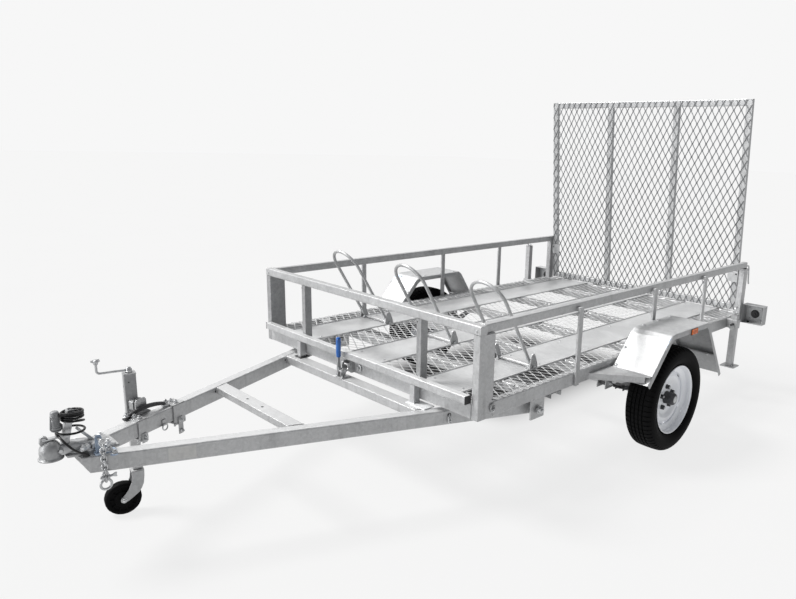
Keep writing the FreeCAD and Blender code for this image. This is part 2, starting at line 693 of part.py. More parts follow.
rt0 = Q(6)
z0 = Q(22)
st2 = []
for s in (1, -1):
    y0, y1 = span(s, RW / 2 - RB, RW / 2)
    st2.append(tube_z(rt0, rt0 + RT, y0, y1, z0, RL, w))
lean_node("ramp_side_rails", group(*st2))
er = []
iw = RW / 2 - RB
er.append(tube_y(rt0, rt0 + RT, -iw, iw, z0, z0 + RB, w))
er.append(tube_y(rt0, rt0 + RT, -iw, iw, RL - RB, RL, w))
ups = []
for s in (1, -1):
    yc = sgn(s, D["rampUp"])
    ups.append(tube_z(rt0, rt0 + RT, yc - 20, yc + 20, z0 + RB, RL - RB, w))
lean_node("ramp_uprights", group(*ups))
lean_node("ramp_mesh", group(box(rt0 + RT, rt0 + RT + D["rampMesh"], -RW / 2 + 2, RW / 2 - 2, z0 + 2, RL - 2)))
kn = []
for s in (1, -1):
    for yy in (640 - 62, 250 + 62):
        y0, y1 = span(s, yy, yy + D["hingeLen"])
        kn.append(fuse(cyl("y", D["hingeR"], D["hingeLen"], 0, y0, 0), box(rt0 - 12, rt0 + 7, y0, y1, 0, z0)))
lean_node("ramp_end_rails", group(fuse(er[0], *kn), er[1]))

# ==================================================================== drawbar
zt, zb = D["dbTop"], D["dbBot"]
kk = D["dbSlope"]


def rail_y(x):
    return D["dbY"] - kk * (Q.of(x) - hl)


off = D["dbW"] * 1.0839
dw = D["dbWall"] * 1.0839
dbr = []
for s, side in ((1, "left"), (-1, "right")):
    x0, x1 = D["dbFrom"], D["dbTo"]
    b = new_body("Rail")
    sk = sketch(b, "XY_Plane", zb)
    poly(sk, [(x0, sgn(s, rail_y(x0))), (x1, sgn(s, rail_y(x1))), (x1, sgn(s, rail_y(x1) - off)), (x0, sgn(s, rail_y(x0) - off))])
    pad(b, sk, zt - zb)
    sk2 = sketch(b, "XY_Plane", zb + D["dbWall"])
    e0, e1 = x0 - 20, x1 + 20
    poly(sk2, [(e0, sgn(s, rail_y(e0) - dw)), (e1, sgn(s, rail_y(e1) - dw)), (e1, sgn(s, rail_y(e1) - off + dw)), (e0, sgn(s, rail_y(e0) - off + dw))])
    pk = body_pocket = b.newObject("PartDesign::Pocket", nm("Pocket"))
    pk.Profile = sk2
    bind(pk, "Length", zt - zb - 2 * D["dbWall"])
    pk.Reversed = True
    b.Tip = pk
    # bush for the tilt pivot across the rear end
    y0, y1 = span(s, ycen - 45, ycen + 45)
    bush = cyl("y", 22, 90, px, y0, pz)
    bore = cyl("y", D["pivBore"], 200, px, span(s, ycen - 100, ycen + 100)[0], pz)
    corner = prism("XZ_Plane", [(x1 - 24, zb - 1), (x1 + 10, zb - 1), (x1 + 10, zt - 18), (x1 + 1, zt - 18)], -100, 100)
    dbr.append(cut(cut(fuse(b, bush), bore), corner))
    node("drawbar_rail_" + side, group(dbr[-1]))

# cross members between the rails
cms = []
for xc, cw, ch in ((D["crossFX"], D["crossFW"], D["crossFH"]), (D["crossRX"], D["crossRW"], D["crossRH"])):
    xa2, xb2 = xc - cw / 2, xc + cw / 2
    outp = [(xa2, -(rail_y(xa2) - off)), (xb2, -(rail_y(xb2) - off)), (xb2, rail_y(xb2) - off), (xa2, rail_y(xa2) - off)]
    solid = prism("XY_Plane", outp, zt - ch, zt)
    inside = box(xa2 + 4, xb2 - 4, -900, 900, zt - ch - 5, zt - 4)
    member = cut(solid, inside)
    if not cms:
        # two bolt holes through the top of the front cross member
        member = cut(member, group(cyl("z", 5.5, 20, xc, 50, zt - 12), cyl("z", 5.5, 20, xc, -70, zt - 12)))
    cms.append(member)
node("drawbar_crossmembers", group(*cms))

# nose: the plate box between the rails that carries the coupling
nx0, nx1 = D["dbTo"] - 62, D["dbTo"]
nose = prism("XY_Plane", [
    (nx0, -(rail_y(nx0) - off)), (nx1, -(rail_y(nx1) - off)), (nx1, rail_y(nx1) - off), (nx0, rail_y(nx0) - off)], zb + 6, zt)
nose = cut(nose, prism("XZ_Plane", [(nx1 - 24, zb - 1), (nx1 + 10, zb - 1), (nx1 + 10, zt - 18), (nx1 + 1, zt - 18)], -100, 100))
node("nose_plate", fuse(nose, prism("XY_Plane", [(2330, -50), (2330, 50), (2462, 50), (2496, 40), (2496, -40), (2462, -50)], zt, zt + 8)))

# coupling: hollow head over the ball, neck and channel
cz = zt + 8
bx = D["ballX"]
head = cyl("z", 36, 42, bx, 0, cz - 12)
dome = doc.addObject("Part::Sphere", nm("Dome"))
dome.Radius = 36
place(dome, bx, 0, cz + 22)
neck = prism("XZ_Plane", [(2350, cz), (bx, cz), (bx, cz + 36), (2470, cz + 34), (2350, cz + 16)], -28, 28)
solid = fuse(head, dome, neck)
cav = fuse(cyl("z", D["ballR"], 40, bx, 0, cz - 30), )
sph = doc.addObject("Part::Sphere", nm("Seat"))
bind(sph, "Radius", D["ballR"])
place(sph, bx, 0, cz + 10)
node("coupling_head", cut(cut(solid, cav), sph))
# handle rising from the head, inside the coiled lead
node("coupling_lever", fuse(
    cut(prism("XZ_Plane", [(2478, 466), (2500, 466), (2472, 586), (2450, 586)], -12, 12), solid),
    prism("XZ_Plane", [(2500, cz + 58.2), (2555, cz + 58.2), (2555, cz + 64), (2483.5, cz + 64), (2484.9, cz + 58.2)], -10, 10)))

# toggle clamp that holds the bed down, with its upright handle
tx = D["crossRX"] + 18
tz = zt
node("toggle_clamp", fuse(
    box(tx - 14, tx + 14, -66, -14, tz, tz + 6),
    box(tx - 12, tx + 12, -52, -28, tz + 6, tz + 44),
    box(tx - 6, tx + 6, -66, -52, tz + 22, tz + 190),
    cyl("z", 12, 96, tx, -59, tz + 96),
    cyl("x", 6, 48, tx - 48, -40, tz + 30)))

# ------------------------------------------------- jockey stand on the far rail
# drawn in its own frame: x along the right rail towards the coupling, y from
# the stand towards the rail, z up; then turned and moved to the rail's side
jr0, jri = D["jOut"], D["jIn"]
gap = (D["jY"] - rail_y(D["jX"])) * 0.9224


def jock(label, obj, angle="jAngle"):
    if obj.TypeId in ("Part::Box", "Part::Cylinder", "Part::Torus"):
        obj = fuse_one(obj)
    obj.Label = label
    obj.Placement = FreeCAD.Placement(V(), FreeCAD.Rotation(V(0, 0, 1), D[angle].v if angle else 0.0))
    obj.setExpression("Placement.Base.x", "(Sheet.xo + Sheet.jX)")
    obj.setExpression("Placement.Base.y", "(0 - Sheet.jY)")
    NODES.append(obj)


def turned(o, deg):
    """Turns a piece about the stand's own axis."""
    g = group(o)
    g.Placement = FreeCAD.Placement(V(), FreeCAD.Rotation(V(0, 0, 1), deg))
    return g


pvz = D["jPivZ"]
jock("jockey_mount", fuse(
    box(-45, 45, gap - 6, gap, zb - 6, zt + 6),
    box(-26, 26, gap - 6, gap, zt, pvz + 26),
    cyl("y", 14, gap - 6 - 33.5, 0, 33.5, pvz)))
jt = D["jTop"]
jb = D["jBot"]
jw2 = jr0 - D["jWall"]
# square outer tube, closed on top, with an ear that turns on the mount's boss
square = box(-jr0, jr0, -jr0, jr0, jb, jt)
hollow = box(-jw2, jw2, -jw2, jw2, jb - 10, jt - 3)
ear = turned(box(-24, 24, 12, 33, pvz - 24, pvz + 24), D["jAngle"].v - D["jSwivel"].v)
jock("jockey_outer_tube", cut(fuse(square, ear), hollow), "jSwivel")
jock("jockey_crank", fuse(
    cyl("z", 13, 22, 0, 0, jt),
    cyl("x", 5, 114, 0, 0, jt + 10),
    cyl("z", 5, 46, 112, 0, jt + 6),
    cyl("z", 8, 20, 112, 0, jt + 46)), "jSwivel")
ji = jri - 2.5
jock("jockey_inner_tube", cut(box(-jri, jri, -jri, jri, D["jInBot"], D["jInTop"]),
                              box(-ji, ji, -ji, ji, D["jInBot"] + 4, D["jInTop"] + 10)), "jSwivel")
fz2 = D["jInBot"]
jr = D["jwR"]
tr = D["jTrail"]
ww = D["jwW"] / 2
# fork plates sweep forward from under the tube to the wheel's axle
side = [(-22, fz2 - 5), (26, fz2 - 5), (24, fz2 - 36), (tr - 18, jr + 34), (tr + 4, jr + 12), (tr + 11, jr + 2), (tr + 8, jr - 9),
        (tr - 4, jr - 12), (tr - 30, jr + 2), (-8, jr + 34), (-19, fz2 - 52)]
fk_l = prism("XZ_Plane", side, ww + 5, ww + 9)
fk_r = prism("XZ_Plane", side, -ww - 9, -ww - 5)
jock("jockey_fork", fuse(
    box(-22, 26, -ww - 9, ww + 9, fz2 - 9, fz2 - 4),
    fk_l, fk_r, cyl("z", 10, 3.4, 0, 0, fz2 - 4),
    cyl("y", 5.95, 2 * (ww + 9), tr, -ww - 9, jr)), "jSwivel")
wh = cut(cyl("y", jr, 2 * ww, tr, -ww, jr), cyl("y", 6.0, 2 * ww + 10, tr, -ww - 5, jr))
jock("jockey_wheel", fuse_one(wh), "jSwivel")

# ------------------------------------------------------------ safety chain
# hangs from a pin beside the near rail, with a bow shackle below
cxx, pinz = 2404.0, 483.0
cyy = 107.0
lug = fuse(box(2352, 2420, 58, 84, zt, zt + 5), box(cxx - 9, cxx + 9, 66, 72, zt, 496), cyl("y", 5, 52, cxx, 66, pinz), cyl("y", 8, 3, cxx, 115, pinz))
links = [lug]
for i in range(10):
    tor = doc.addObject("Part::Torus", nm("Link"))
    tor.Radius1 = 11.5
    tor.Radius2 = 3.5
    rot = FreeCAD.Rotation(V(1, 0, 0), 90) if i % 2 == 0 else FreeCAD.Rotation(V(0, 1, 0), 90)
    tor.Placement = FreeCAD.Placement(V(cxx, cyy, pinz - 2.5 - 15.0 * i), rot)
    links.append(tor)
bow = doc.addObject("Part::Torus", nm("Bow"))
bow.Radius1 = 18
bow.Radius2 = 4.5
bow.Placement = FreeCAD.Placement(V(cxx, cyy, pinz - 2.5 - 135.0 - 20.5), FreeCAD.Rotation(V(1, 0, 0), 90))
links.append(bow)
node("safety_chain", group(*links))

# --------------------------------------------------------------- plug lead
# the lead leaves a gland on the near rail and runs up to its coil
ROUTE = [(2444, 64, 436), (2471.5, 73, 451.5), (2499, 65, 485), (2512, 35.3, 506), (2512, 0, 506)]


def lead_path(pts):
    """Straight runs joined by tangent arcs, each as large as its runs allow."""
    P = [V(*p) for p in pts]
    edges = []
    start = P[0]
    for i in range(1, len(P) - 1):
        a, b = P[i].sub(P[i - 1]), P[i + 1].sub(P[i])
        la, lb = a.Length, b.Length
        turn = a.getAngle(b)
        back = 0.45 * min(la, lb)
        rad = back / math.tan(turn / 2)
        print("lead bend %d: turn %.1f deg, radius %.1f mm" % (i, math.degrees(turn), rad))
        ua, ub = V(a).normalize(), V(b).normalize()
        t0, t1 = P[i].sub(ua * back), P[i].add(ub * back)
        bis = ub.sub(ua).normalize()
        mid = P[i].add(bis * (rad / math.cos(turn / 2) - rad))
        edges.append(Part.LineSegment(start, t0).toShape())
        edges.append(Part.Arc(t0, mid, t1).toShape())
        start = t1
    edges.append(Part.LineSegment(start, P[-1]).toShape())
    return Part.Wire(edges)


lr = D["leadR"].v
wire = lead_path(ROUTE)
print("lead length %.1f mm" % wire.Length)
d0 = V(*ROUTE[1]).sub(V(*ROUTE[0]))
ringp = Part.Wire([Part.Circle(V(*ROUTE[0]), d0, lr).toShape()])
lt = doc.addObject("Part::Feature", "LeadPath")
lt.Shape = wire.makePipeShell([ringp], True, False)
node("lead_tube", group(lt))
node("lead_gland", fuse(cyl("z", 7.5, 10, 2444, 64, zt), cyl("z", 9.5, 4, 2444, 64, zt)))

# the coil: two wide turns low on the handle and four narrow ones above
turns = []
for k in range(2):
    turns.append(torus("z", D["coilR"], D["leadR"], D["coilX"], 0, D["coilZ"] + D["pitch"] * k))
for k in range(4):
    turns.append(torus("z", D["hankR"], D["leadR"], D["hankX"], 0, D["hankZ"] + D["pitch"] * k))


def coil_point(deg, share, z):
    """A point between the wide turns (share 0) and the narrow ones (share 1)."""
    cx = D["coilX"].v + (D["hankX"].v - D["coilX"].v) * share
    cr = D["coilR"].v + (D["hankR"].v - D["coilR"].v) * share
    t = math.radians(deg)
    return V(cx + cr * math.cos(t), cr * math.sin(t), z)


# the climb from the wide turns to the narrow ones, along the handle's far side
ca, cb, cc = coil_point(-400, 0.0, D["coilZ"].v + 7.6), coil_point(-500, 0.5, 534.0), coil_point(-600, 1.0, D["hankZ"].v)
climb = Part.Wire([Part.Arc(ca, cb, cc).toShape()])
cring = Part.Wire([Part.Circle(ca, climb.Edges[0].tangentAt(climb.Edges[0].FirstParameter), lr).toShape()])
rise = doc.addObject("Part::Feature", "Climb")
rise.Shape = climb.makePipeShell([cring], True, False)
node("lead_coil", fuse(rise, *turns))

plx, ply, plz = D["plugX"], D["plugY"], D["plugZ"]
# the lead's boot, in line with the turn that it leaves
boot = doc.addObject("Part::Cylinder", nm("Boot"))
boot.Radius = 5.5
boot.Height = 24
boot.Placement = FreeCAD.Placement(V(plx.v - 30.7, ply.v + 19.5, plz.v + 56.8), FreeCAD.Rotation(V(0, 0, 1), V(0.8443, -0.5358, 0)))
node("lead_plug", fuse(
    cyl("z", 14, 72, plx, ply, plz), cyl("z", 16, 14, plx, ply, plz),
    boot))

# ------------------------------------------------------------------- checks
doc.recompute()
bad = 0
for o in doc.Objects:
    if "Invalid" in o.State or "Error" in o.State:
        print("FAILED", o.Name, o.Label, o.State)
        bad += 1
for o in NODES:
    sh = o.Shape
    if sh.isNull() or not sh.isValid() or not sh.Solids:
        print("BAD SHAPE", o.Label)
        bad += 1
if bad:
    raise SystemExit("%d objects failed" % bad)

os.makedirs("parts", exist_ok=True)
lo = V(1e9, 1e9, 1e9)
hi = V(-1e9, -1e9, -1e9)
vol = 0.0
for o in NODES:
    sh = o.Shape
    bb = sh.BoundBox
    lo = V(min(lo.x, bb.XMin), min(lo.y, bb.YMin), min(lo.z, bb.ZMin))
    hi = V(max(hi.x, bb.XMax), max(hi.y, bb.YMax), max(hi.z, bb.ZMax))
    vol += sum(q.Volume for q in sh.Solids)
    sh.exportStep("parts/%s.step" % o.Label)
    print("%-28s solids %2d  vol %9.1f cm3  box %s" % (o.Label, len(sh.Solids), sh.Volume / 1000.0, [round(v) for v in (bb.XMin, bb.XMax, bb.YMin, bb.YMax, bb.ZMin, bb.ZMax)]))
print("nodes", len(NODES), "box", lo, hi, "litres", vol / 1e6)
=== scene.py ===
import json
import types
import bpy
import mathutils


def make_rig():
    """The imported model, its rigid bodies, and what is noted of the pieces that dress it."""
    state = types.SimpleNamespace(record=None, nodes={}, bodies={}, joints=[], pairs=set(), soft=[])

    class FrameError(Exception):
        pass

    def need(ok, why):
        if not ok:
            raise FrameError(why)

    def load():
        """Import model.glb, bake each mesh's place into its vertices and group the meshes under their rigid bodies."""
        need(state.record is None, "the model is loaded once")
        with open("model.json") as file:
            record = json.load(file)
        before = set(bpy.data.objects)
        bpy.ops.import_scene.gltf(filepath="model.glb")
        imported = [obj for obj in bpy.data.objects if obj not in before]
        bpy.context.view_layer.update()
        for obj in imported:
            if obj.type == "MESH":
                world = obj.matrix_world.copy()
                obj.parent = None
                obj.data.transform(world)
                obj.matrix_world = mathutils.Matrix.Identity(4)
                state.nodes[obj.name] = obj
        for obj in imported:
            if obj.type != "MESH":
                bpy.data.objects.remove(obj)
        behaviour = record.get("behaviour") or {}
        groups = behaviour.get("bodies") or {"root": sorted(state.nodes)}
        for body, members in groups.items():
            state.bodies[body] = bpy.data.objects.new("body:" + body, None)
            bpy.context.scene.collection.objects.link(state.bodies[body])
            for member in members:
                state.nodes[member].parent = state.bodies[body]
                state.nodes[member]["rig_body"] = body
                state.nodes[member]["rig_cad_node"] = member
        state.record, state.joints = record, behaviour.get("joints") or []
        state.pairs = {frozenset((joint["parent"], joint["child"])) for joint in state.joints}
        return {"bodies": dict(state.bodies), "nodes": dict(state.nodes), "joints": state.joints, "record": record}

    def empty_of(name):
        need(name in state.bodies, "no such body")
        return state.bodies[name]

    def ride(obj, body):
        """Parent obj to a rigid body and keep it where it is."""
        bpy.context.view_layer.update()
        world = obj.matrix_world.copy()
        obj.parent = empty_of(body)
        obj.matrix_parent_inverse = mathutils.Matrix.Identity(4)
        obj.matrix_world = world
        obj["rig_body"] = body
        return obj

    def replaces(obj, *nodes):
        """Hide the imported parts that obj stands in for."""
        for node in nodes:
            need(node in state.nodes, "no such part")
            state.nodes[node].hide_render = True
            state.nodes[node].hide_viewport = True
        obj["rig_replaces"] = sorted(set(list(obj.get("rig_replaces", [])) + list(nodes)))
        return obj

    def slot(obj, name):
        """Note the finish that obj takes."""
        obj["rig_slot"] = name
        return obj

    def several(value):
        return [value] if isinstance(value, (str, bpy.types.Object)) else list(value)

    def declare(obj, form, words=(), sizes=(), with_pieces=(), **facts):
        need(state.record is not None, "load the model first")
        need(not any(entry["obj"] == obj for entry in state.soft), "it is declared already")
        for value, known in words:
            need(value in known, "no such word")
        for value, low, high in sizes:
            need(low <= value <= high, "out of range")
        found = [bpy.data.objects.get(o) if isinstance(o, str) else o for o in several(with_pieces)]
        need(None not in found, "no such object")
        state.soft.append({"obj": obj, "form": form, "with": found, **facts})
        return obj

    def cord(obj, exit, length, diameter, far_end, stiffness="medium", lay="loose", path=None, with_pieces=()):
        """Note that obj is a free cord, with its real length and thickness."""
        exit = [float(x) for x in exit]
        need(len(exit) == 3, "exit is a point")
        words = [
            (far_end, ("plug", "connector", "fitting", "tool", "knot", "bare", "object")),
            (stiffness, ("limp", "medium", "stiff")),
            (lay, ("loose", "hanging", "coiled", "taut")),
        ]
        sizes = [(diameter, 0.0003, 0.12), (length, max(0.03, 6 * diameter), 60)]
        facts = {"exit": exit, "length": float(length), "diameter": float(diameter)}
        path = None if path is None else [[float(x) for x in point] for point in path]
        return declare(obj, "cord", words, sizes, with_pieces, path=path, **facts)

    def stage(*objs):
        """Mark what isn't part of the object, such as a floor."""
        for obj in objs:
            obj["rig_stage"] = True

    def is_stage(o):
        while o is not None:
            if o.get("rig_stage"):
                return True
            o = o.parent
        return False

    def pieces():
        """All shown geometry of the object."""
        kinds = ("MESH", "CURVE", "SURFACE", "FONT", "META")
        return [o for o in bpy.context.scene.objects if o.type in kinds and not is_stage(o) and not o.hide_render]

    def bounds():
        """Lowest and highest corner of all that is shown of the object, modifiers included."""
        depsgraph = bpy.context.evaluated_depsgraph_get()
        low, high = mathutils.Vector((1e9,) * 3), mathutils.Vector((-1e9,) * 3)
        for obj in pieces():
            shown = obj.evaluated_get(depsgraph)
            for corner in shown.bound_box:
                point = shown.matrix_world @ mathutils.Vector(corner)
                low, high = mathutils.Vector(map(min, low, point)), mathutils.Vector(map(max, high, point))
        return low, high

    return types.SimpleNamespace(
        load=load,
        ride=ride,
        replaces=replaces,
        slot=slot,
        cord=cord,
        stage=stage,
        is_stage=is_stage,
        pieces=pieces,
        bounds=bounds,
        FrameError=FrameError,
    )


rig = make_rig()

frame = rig.load()
CAD_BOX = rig.bounds()

import json
import math
import random
import bmesh
import bpy
from mathutils import Matrix, Vector

random.seed(7)
XO = -626.5


def P(x, y, z):
    """A point given in millimetres from the middle of the bed, in the frame's metres."""
    return Vector(((x + XO) / 1000.0, y / 1000.0, z / 1000.0))


# ------------------------------------------------------------------- camera
def make_camera():
    a, e, roll = math.radians(133.93), math.radians(13.786), 0.031652
    back = Vector((math.sin(a) * math.cos(e), -math.cos(a) * math.cos(e), math.sin(e)))
    right = Vector((math.cos(a), math.sin(a), 0.0))
    up = back.cross(right)
    r = right * math.cos(roll) + up * math.sin(roll)
    u = -right * math.sin(roll) + up * math.cos(roll)
    cam = bpy.data.cameras.new("view")
    ob = bpy.data.objects.new("view", cam)
    bpy.context.scene.collection.objects.link(ob)
    m = Matrix(((r.x, u.x, back.x), (r.y, u.y, back.y), (r.z, u.z, back.z))).to_4x4()
    m.translation = P(3126.688, 2483.466, 1505.442)
    ob.matrix_world = m
    cam.sensor_width = 36.0
    cam.lens = 690.134 * 36.0 / 796.0
    cam.shift_x = -0.0800
    cam.shift_y = 0.01755
    cam.clip_start, cam.clip_end = 0.05, 200.0
    bpy.context.scene.camera = ob


make_camera()
bpy.context.scene.view_settings.view_transform = "Standard"


# ------------------------------------------------------------ node materials
def new_mat(name):
    m = bpy.data.materials.new(name)
    m.use_nodes = True
    t = m.node_tree
    for n in list(t.nodes):
        t.nodes.remove(n)
    out = t.nodes.new("ShaderNodeOutputMaterial")
    b = t.nodes.new("ShaderNodeBsdfPrincipled")
    t.links.new(b.outputs[0], out.inputs[0])
    return m, t, b


def coords(t, scale=(1, 1, 1)):
    c = t.nodes.new("ShaderNodeTexCoord")
    mp = t.nodes.new("ShaderNodeMapping")
    mp.inputs["Scale"].default_value = scale
    t.links.new(c.outputs["Object"], mp.inputs["Vector"])
    return mp.outputs[0]


def noise(t, vec, scale, detail=4.0, rough=0.55, dist=0.0):
    n = t.nodes.new("ShaderNodeTexNoise")
    n.inputs["Scale"].default_value = scale
    n.inputs["Detail"].default_value = detail
    n.inputs["Roughness"].default_value = rough
    n.inputs["Distortion"].default_value = dist
    t.links.new(vec, n.inputs["Vector"])
    return n


def ramp(t, src, stops):
    r = t.nodes.new("ShaderNodeValToRGB")
    cr = r.color_ramp
    while len(cr.elements) > 1:
        cr.elements.remove(cr.elements[-1])
    first = True
    for pos, col in stops:
        if not isinstance(col, (tuple, list)):
            col = (col, col, col)
        if first:
            e = cr.elements[0]
            e.position = pos
            first = False
        else:
            e = cr.elements.new(pos)
        e.color = (*col, 1.0)
    t.links.new(src, r.inputs[0])
    return r.outputs[0]


def mixc(t, fac, a, b, mode="MIX"):
    m = t.nodes.new("ShaderNodeMix")
    m.data_type = "RGBA"
    m.blend_type = mode
    if isinstance(fac, float):
        m.inputs[0].default_value = fac
    else:
        t.links.new(fac, m.inputs[0])
    for sock, v in ((m.inputs[6], a), (m.inputs[7], b)):
        if isinstance(v, (tuple, list)):
            sock.default_value = (*v, 1.0)
        else:
            t.links.new(v, sock)
    return m.outputs[2]


def mathn(t, op, a, b=None, clamp=False):
    m = t.nodes.new("ShaderNodeMath")
    m.operation = op
    m.use_clamp = clamp
    for i, v in enumerate((a, b)):
        if v is None:
            continue
        if isinstance(v, (int, float)):
            m.inputs[i].default_value = v
        else:
            t.links.new(v, m.inputs[i])
    return m.outputs[0]


def bump(t, b, height, strength, distance):
    n = t.nodes.new("ShaderNodeBump")
    n.inputs["Strength"].default_value = strength
    n.inputs["Distance"].default_value = distance
    t.links.new(height, n.inputs["Height"])
    t.links.new(n.outputs[0], b.inputs["Normal"])


def galvanised(name, dark, light, metal=0.85, rough=(0.30, 0.52), cell=70.0, spangle=0.35, stain=0.35, drip=True, top=None):
    """Hot-dipped zinc: crystal patches, cloudy oxide, runs down upright faces and chalky white blooms."""
    m, t, b = new_mat(name)
    v = coords(t)
    warp = noise(t, v, 28.0, 3.0)
    off = t.nodes.new("ShaderNodeVectorMath")
    off.operation = "MULTIPLY_ADD"
    t.links.new(warp.outputs["Color"], off.inputs[0])
    off.inputs[1].default_value = (0.014, 0.014, 0.014)
    t.links.new(v, off.inputs[2])
    vo = t.nodes.new("ShaderNodeTexVoronoi")
    vo.inputs["Scale"].default_value = cell
    t.links.new(off.outputs[0], vo.inputs["Vector"])
    vs = t.nodes.new("ShaderNodeTexVoronoi")
    vs.inputs["Scale"].default_value = cell * 2.7
    t.links.new(off.outputs[0], vs.inputs["Vector"])
    sep = t.nodes.new("ShaderNodeSeparateColor")
    t.links.new(vo.outputs["Color"], sep.inputs[0])
    sep2 = t.nodes.new("ShaderNodeSeparateColor")
    t.links.new(vs.outputs["Color"], sep2.inputs[0])
    crystal = mathn(t, "ADD", mathn(t, "MULTIPLY", sep.outputs[0], 0.65), mathn(t, "MULTIPLY", sep2.outputs[1], 0.35))
    cloud = noise(t, v, 5.0, 6.0, 0.62, 0.4).outputs["Fac"]
    fine = noise(t, v, 160.0, 4.0, 0.7).outputs["Fac"]
    tone = mathn(t, "ADD", mathn(t, "MULTIPLY", crystal, spangle),
                 mathn(t, "MULTIPLY", ramp(t, cloud, [(0.32, 0.0), (0.68, 1.0)]), 1.0 - spangle))
    base = mixc(t, tone, dark, light)
    # chalky bloom where the zinc has stayed wet
    bloom = ramp(t, noise(t, v, 11.0, 8.0, 0.72, 0.8).outputs["Fac"], [(0.56, 0.0), (0.74, 1.0)])
    base = mixc(t, mathn(t, "MULTIPLY", bloom, stain), base, (0.80, 0.81, 0.82))
    if drip:
        vd = coords(t, (34.0, 34.0, 3.2))
        runs = ramp(t, noise(t, vd, 1.0, 5.0, 0.6, 0.3).outputs["Fac"], [(0.55, 0.0), (0.72, 1.0)])
        base = mixc(t, mathn(t, "MULTIPLY", runs, 0.30), base, tuple(c * 0.55 for c in dark))
    if top:
        # painted light: faces that look up are painted paler, as if lit from above
        cn = t.nodes.new("ShaderNodeTexCoord")
        sn = t.nodes.new("ShaderNodeSeparateXYZ")
        t.links.new(cn.outputs["Normal"], sn.inputs[0])
        up = ramp(t, sn.outputs[2], [(0.90, 0.0), (0.985, 1.0)])
        base = mixc(t, mathn(t, "MULTIPLY", up, 0.85), base, mixc(t, tone, tuple(c * 0.92 for c in top), top))
    t.links.new(base, b.inputs["Base Color"])
    b.inputs["Metallic"].default_value = metal
    rr = mathn(t, "ADD", mathn(t, "MULTIPLY", crystal, (rough[1] - rough[0]) * 0.5), mathn(t, "MULTIPLY", cloud, (rough[1] - rough[0]) * 0.9))
    rr = mathn(t, "ADD", mathn(t, "ADD", rr, rough[0] - 0.06), mathn(t, "MULTIPLY", bloom, 0.22), True)
    t.links.new(rr, b.inputs["Roughness"])
    h = mathn(t, "ADD", mathn(t, "MULTIPLY", cloud, 0.6), mathn(t, "ADD", mathn(t, "MULTIPLY", crystal, 0.12), mathn(t, "MULTIPLY", fine, 0.10)))
    bump(t, b, h, 0.35, 0.0012)
    return m


def plain(name, c0, c1, metal=0.0, rough=(0.35, 0.5), scale=18.0, fine=220.0, bmp=0.25, dist=0.0004, dirt=None, coat=0.0, spec=0.5):
    """A cloudy two-tone finish with fine grain and patches of dirt or wear."""
    m, t, b = new_mat(name)
    v = coords(t)
    c = noise(t, v, scale, 6.0, 0.6, 0.3).outputs["Fac"]
    f = noise(t, v, fine, 4.0, 0.65).outputs["Fac"]
    base = mixc(t, ramp(t, c, [(0.32, 0.0), (0.7, 1.0)]), c0, c1)
    if dirt:
        d = ramp(t, noise(t, v, scale * 2.3, 8.0, 0.75, 0.5).outputs["Fac"], [(0.56, 0.0), (0.7, 1.0)])
        base = mixc(t, mathn(t, "MULTIPLY", d, dirt[1]), base, dirt[0])
    t.links.new(base, b.inputs["Base Color"])
    b.inputs["Metallic"].default_value = metal
    b.inputs["Coat Weight"].default_value = coat
    b.inputs["Coat Roughness"].default_value = 0.12
    b.inputs["Specular IOR Level"].default_value = spec
    r = mathn(t, "ADD", mathn(t, "MULTIPLY", c, rough[1] - rough[0]), mathn(t, "ADD", mathn(t, "MULTIPLY", f, 0.10), rough[0] - 0.05), True)
    t.links.new(r, b.inputs["Roughness"])
    bump(t, b, mathn(t, "ADD", mathn(t, "MULTIPLY", f, 0.5), mathn(t, "MULTIPLY", c, 0.5)), bmp, dist)
    return m


MAT = {}
MAT["galv"] = galvanised("galvanised_tube", (0.30, 0.303, 0.307), (0.48, 0.485, 0.49), metal=0.5, rough=(0.35, 0.52), cell=95.0, spangle=0.55, stain=0.22)
# painted light: this copy of the tube zinc paints its upward faces paler, as if lit from above
MAT["galv_top"] = galvanised("galvanised_bar", (0.31, 0.313, 0.317), (0.49, 0.495, 0.50), metal=0.5, rough=(0.35, 0.52), cell=95.0, spangle=0.55, stain=0.22, top=(0.57, 0.575, 0.58))
# painted shade: a darker copy of the tube zinc for posts and the stand tube that stand in shade
MAT["galv_post"] = galvanised("galvanised_post", (0.21, 0.213, 0.217), (0.35, 0.354, 0.36), metal=0.5, rough=(0.35, 0.52), cell=95.0, spangle=0.55, stain=0.22)
MAT["galv_sheet"] = galvanised("galvanised_sheet", (0.30, 0.305, 0.31), (0.45, 0.455, 0.46), metal=0.35, rough=(0.46, 0.62), cell=60.0, spangle=0.6, stain=0.16)
MAT["galv_mesh"] = galvanised("galvanised_mesh", (0.44, 0.443, 0.447), (0.64, 0.645, 0.65), metal=0.5, cell=130.0, drip=False, stain=0.3)
# painted shade: the ramp's mesh is a much darker copy of the floor mesh's zinc, standing for strands in shade
MAT["ramp_wire"] = galvanised("galvanised_ramp_mesh", (0.085, 0.088, 0.092), (0.20, 0.205, 0.21), metal=0.5, cell=130.0, drip=False, stain=0.10)
MAT["plate"] = galvanised("aluminium_plate", (0.42, 0.425, 0.43), (0.60, 0.605, 0.61), metal=0.55, rough=(0.34, 0.5), cell=30.0, spangle=0.2, drip=False, stain=0.2)
MAT["zinc"] = plain("zinc_plate", (0.38, 0.385, 0.39), (0.58, 0.59, 0.60), 0.7, (0.25, 0.42), 30.0, dirt=((0.20, 0.20, 0.21), 0.5))
MAT["bluezinc"] = plain("blue_zinc", (0.24, 0.31, 0.42), (0.42, 0.49, 0.58), 0.35, (0.45, 0.6), 34.0)
MAT["cast"] = plain("coupling_casting", (0.24, 0.245, 0.25), (0.48, 0.485, 0.49), 0.55, (0.35, 0.55), 26.0, 130.0, 0.5, 0.0010, dirt=((0.12, 0.12, 0.12), 0.5))
